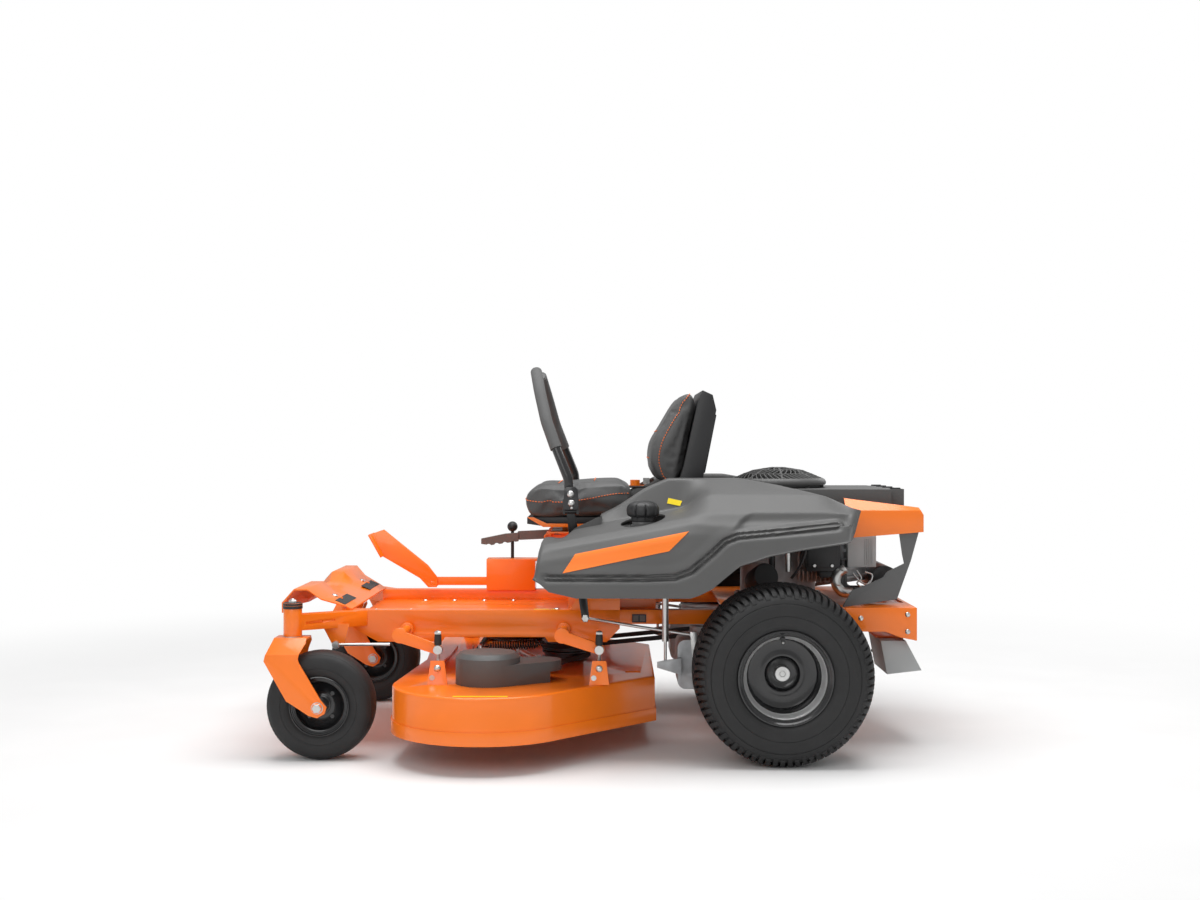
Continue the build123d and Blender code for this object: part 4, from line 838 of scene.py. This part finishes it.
def flank_patch(name, corners, side, material, lift=1.6, steps=(80, 16)):
    """Thin blank label that lies on the side face; corners are (x, z), in order round the label."""
    a, b, c, d = [Vector(p) for p in corners]
    verts = []
    for i in range(steps[0] + 1):
        for j in range(steps[1] + 1):
            s, t = i / steps[0], j / steps[1]
            p = (a * (1 - s) + b * s) * (1 - t) + (d * (1 - s) + c * s) * t
            verts.append((p.x, OUT[side] * (flank_y(p.x, p.y) + lift), p.y))
    faces = []
    for i in range(steps[0]):
        for j in range(steps[1]):
            k = i * (steps[1] + 1) + j
            faces.append([k, k + 1, k + steps[1] + 2, k + steps[1] + 1])
    obj = make_object(name, verts, faces)
    thick = obj.modifiers.new("wall", "SOLIDIFY")
    thick.thickness = 0.0006
    thick.offset = 0
    bake_modifiers(obj)
    return finish_piece(obj, "chassis", material, angle=40)


def flank_y(x, z):
    """Outward place of the skin at a point of the side view."""
    for before, after in zip(FENDER_GRID, FENDER_GRID[1:]):
        if before[70].x <= x <= after[70].x:
            t = (x - before[70].x) / max(after[70].x - before[70].x, 1e-6)
            return column_y(before, z) * (1 - t) + column_y(after, z) * t
    return column_y(FENDER_GRID[-1], z)


def column_y(column, z):
    """Outward place of one column of the grid at a height."""
    outer = column[14:]
    for upper, lower in zip(outer, outer[1:]):
        if lower.z <= z <= upper.z:
            t = (upper.z - z) / max(upper.z - lower.z, 1e-6)
            return upper.y + (lower.y - upper.y) * t
    return outer[-1].y if z < outer[-1].z else outer[0].y


FUEL = (111, -440)
SIDE_PANEL = [(-95, 492), (-63, 540), (226, 598), (175, 548)]
SMALL_LABEL = [(176, 662), (180, 676), (216, 668), (210, 655)]


def left_fender():
    """Left fender with the filler's recess and neck, and its blank labels."""
    skin = fender_skin("left")
    cup = [(0, 603), (57, 603), (58, 604), (60, 760), (0, 760)]
    carve(skin, *lathe_mesh(cup, (*FUEL, 0), (0, 0, 1), 64))
    finish_piece(skin, "chassis", "dark_plastic", replaces=("fender_left",))
    liner = [(29, 602), (54, 602.5), (57, 604), (58.5, 606.5)]
    lathe("fuel_recess", liner, (*FUEL, 0), (0, 0, 1), "chassis", "dark_plastic", 64)
    neck = [(22.5, 600), (22.5, 617.5), (27.5, 617.5), (28.5, 616), (28.5, 610), (33, 608), (33, 603)]
    lathe("fuel_neck", neck, (*FUEL, 0), (0, 0, 1), "chassis", "guard_grey", 48)
    flank_patch("side_panel_left", SIDE_PANEL, "left", "orange_plastic")
    flank_patch("small_label_left", SMALL_LABEL, "left", "yellow_label")


def right_fender():
    """Right fender with the console's tray, and its blank panel."""
    skin = fender_skin("right")
    carve(skin, *box_mesh(78, 157, 252, 342, 688, 760))
    finish_piece(skin, "chassis", "dark_plastic", replaces=("fender_right",))
    flank_patch("side_panel_right", SIDE_PANEL, "right", "orange_plastic")
    merged("console_tray", [box_mesh(74, 161, 251, 346, 684, 689.6)], "chassis", "black_plastic", bevel=1)
    merged("console_strip", [box_mesh(82, 153, 318, 336, 689.6, 690.8)], "chassis", "orange_plastic",
           bevel=0.4)


def fuel_cap():
    """Screw cap with deep finger notches round its edge."""
    verts = []
    rings = [(26, 617), (30, 619), (31, 629), (39, 632), (42, 636), (43, 646), (42, 655), (37, 663),
             (26, 669), (12, 672), (0.01, 672.8)]
    steps = 144
    for r, z in rings:
        for s in range(steps):
            turn = 2 * math.pi * s / steps
            notch = max(0.0, math.cos(turn * 9)) ** 6 * step(r, 32, 40) * step(664 - z, 0, 14)
            verts.append((FUEL[0] + (r - 5.5 * notch) * math.cos(turn),
                          FUEL[1] + (r - 5.5 * notch) * math.sin(turn), z))
    faces = []
    for i in range(len(rings) - 1):
        for s in range(steps):
            t = (s + 1) % steps
            faces.append([i * steps + s, i * steps + t, (i + 1) * steps + t, (i + 1) * steps + s])
    plug = lathe_mesh([(26, 617), (21.5, 616.5), (21.5, 604), (0, 604)], (*FUEL, 0), (0, 0, 1), 48)
    return merged("fuel_cap_knob", [(verts, faces), plug], "cap", "black_plastic", angle=50,
                  replaces=("fuel_cap",))


left_fender()
right_fender()
fuel_cap()

# ---------------------------------------------------------------- seat

def rounded_pad(name, outline, half_width, taper, rows=15):
    """Closed pad: a side-view outline of (x, z) points swept across, drawn in towards each end."""
    middle = Vector((sum(p[0] for p in outline) / len(outline), sum(p[1] for p in outline) / len(outline)))
    count = len(outline)
    verts = []
    for row in range(rows):
        t = -1 + 2 * row / (rows - 1)
        y = half_width * math.sin(t * math.pi / 2)
        shrink = 1 - taper * max(0.0, (abs(t) - 0.55) / 0.45) ** 2.2
        for x, z in outline:
            verts.append((middle.x + (x - middle.x) * shrink, y, middle.y + (z - middle.y) * shrink))
    faces = [list(range(count)), list(range(len(verts) - count, len(verts)))[::-1]]
    for row in range(rows - 1):
        for i in range(count):
            a = row * count + i
            b = row * count + (i + 1) % count
            faces.append([a, b, b + count, a + count])
    return make_object(name, verts, faces)


def inflate(obj, cap, floor_z=None):
    """Puffs a pad with a short cloth simulation and bakes the result."""
    remesh = obj.modifiers.new("remesh", "REMESH")
    remesh.mode = "VOXEL"
    remesh.voxel_size = 0.006
    bake_modifiers(obj)
    start = [v.co.copy() for v in obj.data.vertices]
    cloth = obj.modifiers.new("cloth", "CLOTH")
    cloth.settings.quality = 4
    cloth.settings.mass = 0.3
    cloth.settings.use_pressure = True
    cloth.settings.uniform_pressure_force = 4
    cloth.settings.tension_stiffness = 40
    cloth.settings.compression_stiffness = 40
    cloth.settings.bending_stiffness = 4
    cloth.settings.effector_weights.gravity = 0
    cloth.point_cache.frame_start = 1
    cloth.point_cache.frame_end = 20
    for number in range(1, 21):
        bpy.context.scene.frame_set(number)
    bake_modifiers(obj)
    for vertex, old in zip(obj.data.vertices, start):
        move = vertex.co - old
        if move.length > cap / 1000:
            vertex.co = old + move * (cap / 1000 / move.length)
        if floor_z is not None and vertex.co.z < floor_z:
            vertex.co.z = floor_z
    bpy.context.scene.frame_set(1)
    fine = obj.modifiers.new("subdivide", "SUBSURF")
    fine.levels = 1
    bake_modifiers(obj)


def cushions():
    """The seat's two padded cushions."""
    seat_side = spline([
        (-212, 650), (-206, 630), (-190, 622), (-100, 622), (0, 622), (75, 622), (86, 645), (88, 682),
        (76, 703), (40, 709), (-40, 706), (-110, 700), (-170, 700), (-200, 690), (-213, 670), (-212, 650),
    ], 3)[:-1]
    cushion = rounded_pad("seat_cushion_pad", seat_side, 230, 0.08)
    inflate(cushion, 9, floor_z=0.6178)
    finish_piece(cushion, "seat", "seat_vinyl", angle=60, replaces=("seat_cushion",))
    back_side = spline([
        (160, 722), (138, 768), (146, 820), (176, 872), (214, 936), (238, 962), (254, 958), (256, 930),
        (238, 850), (222, 772), (206, 712), (186, 704), (160, 722),
    ], 3)[:-1]
    back = rounded_pad("back_cushion_pad", back_side, 192, 0.10)
    inflate(back, 8)
    finish_piece(back, "seat", "seat_vinyl", angle=60, replaces=("back_cushion",))
    return cushion, back


def surface_line(obj, points, lift):
    """Points pushed on to the nearest place of a mesh, and out by lift millimetres."""
    graph = bpy.context.evaluated_depsgraph_get()
    tree = BVHTree.FromObject(obj, graph)
    inverse = obj.matrix_world.inverted()
    out = []
    for point in points:
        place, normal, _, _ = tree.find_nearest(inverse @ at(*point))
        spot = obj.matrix_world @ (place + normal * lift / 1000)
        out.append((spot - SHIFT) * 1000)
    return out


def stitches(name, obj, line, body, pitch=8.0, length=6.4, radius=1.35):
    """Separate short thread stitches, and the piping seam under them, along a line on a pad."""
    path = surface_line(obj, smooth_path(line, 24), 0.9)
    tube(name + "_seam", path, 1.0, body, "seat_vinyl", sides=8)
    parts = []
    walked = 0.0
    place = 0.0
    for a, b in zip(path, path[1:]):
        span = (b - a).length
        while place <= walked + span and span > 1e-6:
            start = a.lerp(b, (place - walked) / span)
            end = start + (b - a).normalized() * length
            parts.append(tube_mesh([start, start.lerp(end, 0.25), start.lerp(end, 0.75), end],
                                   [0.5, radius, radius, 0.5], 6))
            place += pitch
        walked += span
    merged(name + "_thread", parts, body, "orange_thread", angle=60)


def upholstery(cushion, back):
    """Stitching round both cushions and across their channels."""
    for sign, name in ((-1, "left"), (1, "right")):
        y = sign * 236
        line = [(-214, sign * 150, 672), (-214, sign * 205, 668), (-190, y, 662), (-110, y, 660),
                (-40, y, 668), (30, y, 682), (80, sign * 228, 684)]
        stitches("seat_side_" + name, cushion, line, "seat")
        y = sign * 196
        line = [(176, y, 716), (160, y, 768), (168, y, 822), (196, y, 880), (228, y, 936),
                (246, sign * 180, 958)]
        stitches("back_side_" + name, back, line, "seat")
    stitches("seat_front", cushion, [(-216, -150, 672), (-218, 0, 672), (-216, 150, 672)], "seat")
    line = [(246, -180, 958), (247, -90, 962), (247, 0, 962), (247, 90, 962), (246, 180, 958)]
    stitches("back_top", back, line, "seat")
    for x in (-120, -20):
        line = [(x, -170, 712), (x, 0, 716), (x, 170, 712)]
        stitches("seat_channel_%d" % (x + 200), cushion, line, "seat")
    for x, z in ((128, 780), (150, 860)):
        stitches("back_channel_%d" % z, back, [(x, -140, z), (x, 0, z), (x, 140, z)], "seat")


def seat_pan():
    """Orange pan that shows under the front and sides of the cushion."""
    side = [(-205, 617), (-160, 590), (-20, 590), (-20, 599), (-150, 600), (-186, 617)]
    for sign, name in ((-1, "left"), (1, "right")):
        prism("seat_pan_" + name, side, "y", *sorted((sign * 212, sign * 215)), "seat", "orange_paint",
              bevel=0.5)
    front = [(-205, 617), (-160, 590), (-157, 593), (-200, 617)]
    prism("seat_pan_front", front, "y", -212, 212, "seat", "orange_paint", bevel=0.5)


upholstery(*cushions())
seat_pan()
# ---------------------------------------------------------------- engine

def shroud():
    """Moulded engine cover with its latches, and the domed screen with slanting slots."""
    cover = refined("engine_shroud", "dark_plastic", 3.0, name="engine_cover", segments=3)
    drop_parts(cover, lambda low, high: low[2] > 680)
    centre = (CRANK_X, 0, 0)
    # Near-black dish under the screen bars: painted shade that stands for the dark hollow beneath the
    # slots.
    lathe("painted_shade_under_screen", [(0, 736), (50, 733), (90, 718), (112, 704), (124, 696)], centre, (0, 0, 1),
          "chassis", "painted_shade_black", 64)
    rim = [(124, 700), (136, 702), (138.5, 706), (138.5, 712), (135, 718), (129, 721.5), (125, 720),
           (124, 714)]
    hub = [(0.01, 753), (14, 752.5), (20, 751.5), (22, 748), (22, 742)]
    parts = [lathe_mesh(rim, centre, (0, 0, 1), 96), lathe_mesh(hub, centre, (0, 0, 1), 48)]
    for radius in (60, 96):
        top = dome_height(radius) + 0.4
        ring = [(radius - 2, top - 7), (radius - 2, top), (radius + 2, top - 0.6), (radius + 2, top - 7)]
        parts.append(lathe_mesh(ring, centre, (0, 0, 1), 72))
    for inner, outer, count, lean in ((20, 60, 18, 16), (60, 96, 36, -14), (96, 126, 48, 12)):
        for index in range(count):
            turn = 360 * index / count
            parts.append(screen_bar(inner, outer, turn, lean))
    for index in range(8):
        parts.append(screen_bar(18, 126, 45 * index, 0, width=5, lift=1.2))
    merged("engine_screen", parts, "chassis", "dark_plastic", angle=40)
    pegs = []
    for index in range(10):
        turn = 2 * math.pi * (index + 0.5) / 10
        x, y = CRANK_X + 128 * math.cos(turn), 128 * math.sin(turn)
        pegs.append(box_mesh(x - 5, x + 5, y - 5, y + 5, 693, 704))
    merged("engine_screen_feet", pegs, "chassis", "black_plastic")
    latch = [box_mesh(806, 834, y, y + 12, 693, 697.5) for y in (-160, -40, 60, 146)]
    latch += [box_mesh(838, 843.4, y, y + 36, 670, 688) for y in (-120, 84)]
    merged("engine_cover_latches", latch, "chassis", "black_plastic", bevel=1)


def dome_height(radius):
    """Height of the screen's top at a radius."""
    return 752 - 33 * (radius / 130) ** 2.2


def screen_bar(inner, outer, turn, lean, width=3.2, lift=0.0):
    """One bar of the screen between two radii, leaning round by some degrees."""
    verts = []
    for t in (0.0, 0.5, 1.0):
        radius = inner + (outer - inner) * t
        angle = math.radians(turn + lean * t)
        x, y = CRANK_X + radius * math.cos(angle), radius * math.sin(angle)
        side = Vector((-math.sin(angle), math.cos(angle)))
        high = dome_height(radius) + lift
        for across in (-width / 2, width / 2):
            for z in (high - 7, high):
                verts.append((x + side.x * across, y + side.y * across, z))
    faces = []
    for i in (0, 4):
        faces += [[i, i + 1, i + 5, i + 4], [i + 1, i + 3, i + 7, i + 5], [i + 3, i + 2, i + 6, i + 7],
                  [i + 2, i, i + 4, i + 6]]
    faces += [[0, 2, 3, 1], [8, 9, 11, 10]]
    return verts, faces


def engine_dressing():
    """Air-filter housing, regulator, breather, lines and fastenings that show round the engine."""
    merged("filter_housing", [box_mesh(560, 655, -236, -150, 470, 600),
                              box_mesh(566, 649, -240, -236, 480, 590),
                              box_mesh(600, 655, -232, -160, 452, 470)], "chassis", "black_plastic",
                              bevel=6)
    tube("breather_hose", smooth_path([(640, -244, 596), (648, -247, 575), (652, -247, 556),
                                       (644, -247, 545)], 6), 8,
         "chassis", "black_plastic")
    ribs = [box_mesh(676, 754, -232, -130, 482, 566)]
    ribs += [box_mesh(742 - 5 * i, 744.5 - 5 * i, -234.5, -232, 488, 560) for i in range(5)]
    merged("cooler_box", ribs, "chassis", "light_grey", bevel=2.5)
    bend = smooth_path([(668, -228, 478), (648, -232, 462), (644, -234, 436), (660, -234, 415),
                        (688, -230, 410)], 7)
    tube("exhaust_bend", bend, [14] * len(bend), "chassis", "bright_steel", sides=24)
    parts = []
    for t in (0.08, 0.5, 0.92):
        spot = bend[int(t * (len(bend) - 1))]
        parts.append(lathe_mesh([(15.5, -3), (16.5, 0), (15.5, 3)], spot, (0.3, 0, 1), 24))
    merged("exhaust_clamps", parts, "chassis", "zinc")
    lines = {
        "fuel_line": [(560, -252, 560), (556, -256, 520), (540, -252, 480), (520, -246, 452)],
        "throttle_wire": [(700, -236, 474), (712, -240, 452), (700, -242, 438), (722, -240, 425),
                          (736, -238, 446)],
        "choke_wire": [(690, -238, 466), (708, -244, 444), (730, -244, 436), (742, -240, 460),
                       (722, -240, 470)],
        "dipstick": [(470, -214, 420), (470, -214, 590)],
        "oil_drain": [(512, -236, 470), (512, -238, 560)],
    }
    for name, points in lines.items():
        thick = {"dipstick": 9, "oil_drain": 7, "fuel_line": 4}.get(name, 2.2)
        material = "black_plastic" if name in ("fuel_line", "dipstick") else "bright_steel"
        tube(name, smooth_path(points, 6), thick, "chassis", material)
    lathe("dipstick_cap", [(0, 0), (13, 0), (15, 4), (15, 18), (11, 22), (0, 22)], (470, -214, 588),
          (0, 0, 1),
          "chassis", "black_plastic", 24)
    lathe("oil_filter", [(0, 0), (34, 2), (37, 6), (37, 70), (33, 78), (0, 78)], (428, -232, 440),
          (0.15, -0.6, 0.2),
          "chassis", "black_plastic", 40)
    bolts = []
    for x, z in ((584, 486), (632, 486), (584, 584), (632, 584)):
        bolts.append(hex_mesh((x, -240, z), (0, -1, 0), 5, 4))
    for angle in range(0, 360, 45):
        turn = math.radians(angle)
        bolts.append(hex_mesh((CRANK_X + 116 * math.cos(turn), 116 * math.sin(turn), 390), (0, 0, 1), 7, 6))
    merged("engine_bolts", bolts, "chassis", "zinc")


# ---------------------------------------------------------------- hardware

def spring(name, start, end, radius, wire, turns, body):
    """Close-wound tension spring with straight hooks."""
    a, b = Vector(start), Vector(end)
    along = (b - a).normalized()
    u, v = frame_of(along)
    path = [a - along * 14, a - along * 8]
    steps = turns * 16
    for i in range(steps + 1):
        t = i / steps
        angle = 2 * math.pi * turns * t
        grown = radius * min(1.0, 8 * t + 0.1, 8 * (1 - t) + 0.1)
        path.append(a.lerp(b, t) + u * math.cos(angle) * grown + v * math.sin(angle) * grown)
    path += [b + along * 8, b + along * 14]
    tube(name, path, wire, body, "black_paint", sides=8)


def hangers():
    """Threaded hanger rods, sleeves, end discs, nuts and bracket trunnions, and the idler's spring."""
    steel, black, bright = [], [], []
    for x in (-422, -3):
        for y in (-460, 460):
            thread = [(5.4 if i % 2 else 4.8, 216 + i * 0.9) for i in range(132)]
            steel.append(lathe_mesh([(0, 214)] + thread + [(0, 336)], (x, y, 0), (0, 0, 1), 14))
            black.append(lathe_mesh([(5.4, 297), (9.5, 298), (9.8, 306), (9.2, 318), (8.4, 325),
                                     (5.4, 325)], (x, y, 0), (0, 0, 1), 24))
            bright.append(lathe_mesh([(0, -8.5), (11.5, -8.5), (12.5, -6), (12.5, 6), (11.5, 7.6),
                                      (0, 7.6)], (x, y, 285), (0, -1, 0), 32))
            for z in (326, 232, 246):
                bright.append(hex_mesh((x, y, z), (0, 0, 1), 9.5, 7))
            side = -1 if y < 0 else 1
            bright.append(dome_mesh((x, y + side * 14.2, 238), (0, side, 0), 9, 5))
            bright.append(lathe_mesh([(0, -0.5), (7, -0.5), (7, 0.9), (0, 0.9)],
                                     (x - 14, y + side * 14, 214),
                                     (0, side, 0), 20))
    merged("hanger_rods", steel, "deck", "zinc", angle=20, replaces=("deck_fittings",))
    merged("hanger_sleeves", black, "deck", "belt_rubber")
    merged("hanger_nuts", bright, "deck", "bright_steel")
    spring("idler_spring", (-318, -200, 259), (-166, -200, 267), 12, 1.7, 22, "deck")
    lathe("idler_spring_post", [(6, 196), (6, 262), (4.5, 265), (0, 265)], (-334, -200, 0), (0, 0, 1),
          "deck", "zinc", 20)


def bolts_and_labels():
    """Carriage bolts, pivots, blank labels, grip strips and other trim."""
    domes = []
    for y in (-225, 225):
        domes.append(dome_mesh((-734, y, 402.2), (0.25, 0, 1), 8.5, 4))
    for x, y in ((-541, -225), (-452, -225), (-361, -225), (-272, -225)):
        domes.append(dome_mesh((x, y, 341.2), (0, 0, 1), 7, 4))
        domes.append(dome_mesh((x, -y, 341.2), (0, 0, 1), 7, 4))
    for x in (-120, 20):
        for y in (-280, 280):
            domes.append(dome_mesh((x, y, 371.3), (0, 0, 1), 8, 4))
    for y in (-306.4, 306.4):
        for x, z in ((826, 360), (826, 314), (700, 350)):
            domes.append(dome_mesh((x, y, z), (0, 1 if y > 0 else -1, 0), 7, 4))
    merged("carriage_bolts", domes, "chassis", "bright_steel")
    for side, sign in (("left", -1), ("right", 1)):
        arm = "arm_" + side
        bar = "bar_" + side
        pins = [hex_mesh((-41, sign * 351, 354), (0, sign, 0), 10.5, 8)]
        merged("arm_bolt_" + side, pins, arm, "bright_steel")
        plate = [(-101, 644), (-96, 700), (-88, 706), (-68, 706), (-61, 699), (-58, 646), (-62, 644)]
        prism("bar_plate_" + side, plate, "y", *sorted((sign * 361, sign * 366)), bar, "black_paint",
              bevel=1)
        studs = [dome_mesh((-80, sign * 366, 686), (0, sign, 0), 9, 5),
                 dome_mesh((-78, sign * 366, 662), (0, sign, 0), 9, 5)]
        studs.append(dome_mesh((-77, sign * 366, 649), (0, sign, 0), 3.5, 1.5))
        merged("bar_bolts_" + side, studs, bar, "bright_steel")
        strut = smooth_path([(-704, sign * 372, 286), (-640, sign * 372, 286.6), (-560, sign * 372, 287)],
                            2)
        tube("stay_rod_" + side, strut, 4.2, "chassis", "bright_steel", sides=16)
        lathe("stay_rod_eye_" + side, [(0, -6), (9, -6), (10.5, -3), (10.5, 3), (9, 6), (0, 6)],
              (-704, sign * 373, 286), (0, 1, 0), "chassis", "zinc", 28)
        strips = []
        strips.append(slab([(-720, 395.8), (-693, 384.2)], *sorted((sign * 120, sign * 296)), 0.9))
        strips.append(slab([(-835, 410.8), (-816.5, 431.6)], *sorted((sign * 165, sign * 300)), 0.9))
        merged("grip_strip_" + side, strips, "chassis", "grip_tape")
    merged("deck_label", [box_mesh(-363, -227, -659, -649, 196.1, 196.8)], "deck", "yellow_label")
    merged("rail_label_yellow", [box_mesh(-182, -140, -291, -283, 371.1, 371.7),
                                 box_mesh(-136, -118, -291, -283, 371.1, 371.7)],
           "chassis", "yellow_label")
    merged("rail_label_frame", [box_mesh(-612, -514, -294, -276, 371.1, 371.6)], "chassis", "white_label")
    merged("rail_label_fill", [box_mesh(-608, -518, -292, -278, 371.6, 372.0)], "chassis", "orange_plastic")
    merged("side_label", [box_mesh(84, 122, -305.5, -305, 338, 360)], "chassis", "black_plastic")
    merged("side_label_marks", [box_mesh(87, 101, -305.9, -305.5, 341, 357),
                                box_mesh(105, 119, -305.9, -305.5, 341, 357)],
           "chassis", "grip_grey")


def slab(line, y_low, y_high, thick):
    """Thin strip on a sloping line of the front cover."""
    (x0, z0), (x1, z1) = line
    run = Vector((x1 - x0, z1 - z0)).normalized()
    up = Vector((-run.y, run.x)) * thick
    corners = [(x0, z0), (x1, z1), (x1 + up.x, z1 + up.y), (x0 + up.x, z0 + up.y)]
    verts = [(x, y_low, z) for x, z in corners] + [(x, y_high, z) for x, z in corners]
    return verts, [[0, 1, 2, 3], [7, 6, 5, 4], [0, 4, 5, 1], [1, 5, 6, 2], [2, 6, 7, 3], [3, 7, 4, 0]]


def rear_trim():
    """Black inner plate and wire form under the rear."""
    for sign, side in ((-1, "left"), (1, "right")):
        inner = [(700, 432), (760, 455), (774, 470), (828, 492), (824, 470), (740, 420)]
        prism("guard_lining_" + side, inner, "y", *sorted((sign * 288, sign * 291)), "chassis",
              "black_paint", bevel=0.6)
    parts = []
    for y in (-150, -90, -30, 30):
        parts.append(tube_mesh(smooth_path([(840, y, 284), (842, y, 236), (800, y, 226), (790, y, 214),
                                            (852, y, 206)], 5),
                               3, 10))
    merged("wire_guard", parts, "chassis", "black_paint")


shroud()
engine_dressing()
hangers()
bolts_and_labels()
rear_trim()

# ---------------------------------------------------------------- stage, lights, camera

def stage():
    """Pale floor that glows away to the white of the background."""
    mesh = bpy.data.meshes.new("floor")
    size = 30
    mesh.from_pydata([(-size, -size, 0), (size, -size, 0), (size, size, 0), (-size, size, 0)], [],
                     [[0, 1, 2, 3]])
    floor = bpy.data.objects.new("floor", mesh)
    bpy.context.scene.collection.objects.link(floor)
    material, nodes, links, shader = new_material("floor")
    grain = noise_node(nodes, links, 3, 2.0)
    tint = ramp(nodes, links, grain.outputs["Fac"], (0.83, 0.83, 0.83), (0.86, 0.86, 0.86))
    links.new(tint.outputs["Color"], shader.inputs["Base Color"])
    shader.inputs["Roughness"].default_value = 0.9
    coordinates = nodes.new("ShaderNodeTexCoord")
    distance = nodes.new("ShaderNodeVectorMath")
    distance.operation = "LENGTH"
    links.new(coordinates.outputs["Object"], distance.inputs[0])
    fade = nodes.new("ShaderNodeMapRange")
    fade.interpolation_type = "SMOOTHSTEP"
    fade.inputs["From Min"].default_value = 0.9
    fade.inputs["From Max"].default_value = 3.6
    links.new(distance.outputs["Value"], fade.inputs["Value"])
    glow = nodes.new("ShaderNodeEmission")
    mix = nodes.new("ShaderNodeMixShader")
    links.new(fade.outputs["Result"], mix.inputs["Fac"])
    links.new(shader.outputs["BSDF"], mix.inputs[1])
    links.new(glow.outputs["Emission"], mix.inputs[2])
    links.new(mix.outputs["Shader"], nodes["Material Output"].inputs["Surface"])
    floor.data.materials.append(material)


def area_light(name, place, target, size, power):
    light = bpy.data.lights.new(name, "AREA")
    light.shape = "RECTANGLE"
    light.size, light.size_y = size
    light.energy = power
    obj = bpy.data.objects.new(name, light)
    obj.location = place
    obj.rotation_euler = (Vector(target) - Vector(place)).to_track_quat("-Z", "Y").to_euler()
    bpy.context.scene.collection.objects.link(obj)


def lights_and_camera():
    world = bpy.data.worlds.new("studio")
    world.use_nodes = True
    world.node_tree.nodes["Background"].inputs["Color"].default_value = (1, 1, 1, 1)
    paths = world.node_tree.nodes.new("ShaderNodeLightPath")
    strength = world.node_tree.nodes.new("ShaderNodeMapRange")
    strength.inputs["To Min"].default_value = 0.5
    strength.inputs["To Max"].default_value = 1.0
    world.node_tree.links.new(paths.outputs["Is Camera Ray"], strength.inputs["Value"])
    world.node_tree.links.new(strength.outputs["Result"],
                              world.node_tree.nodes["Background"].inputs["Strength"])
    scene = bpy.context.scene
    scene.world = world
    scene.view_settings.view_transform = "Standard"
    area_light("top", (0, -0.4, 3.2), (0, 0, 0.3), (3.0, 2.0), 95)
    area_light("front", (-1.2, -4.2, 2.4), (0, 0, 0.4), (2.6, 2.0), 38)
    area_light("rear", (2.6, 2.6, 2.2), (0, 0, 0.5), (2.0, 2.0), 25)
    camera = bpy.data.cameras.new("camera")
    camera.sensor_width = 36
    camera.lens = 45
    camera.clip_end = 100
    obj = bpy.data.objects.new("camera", camera)
    obj.location = at(38, -4350, 822)
    look = Vector((-15 / 1500, 1, -7 / 1500))
    obj.rotation_euler = look.to_track_quat("-Z", "Y").to_euler()
    scene.collection.objects.link(obj)
    scene.camera = obj


stage()
lights_and_camera()
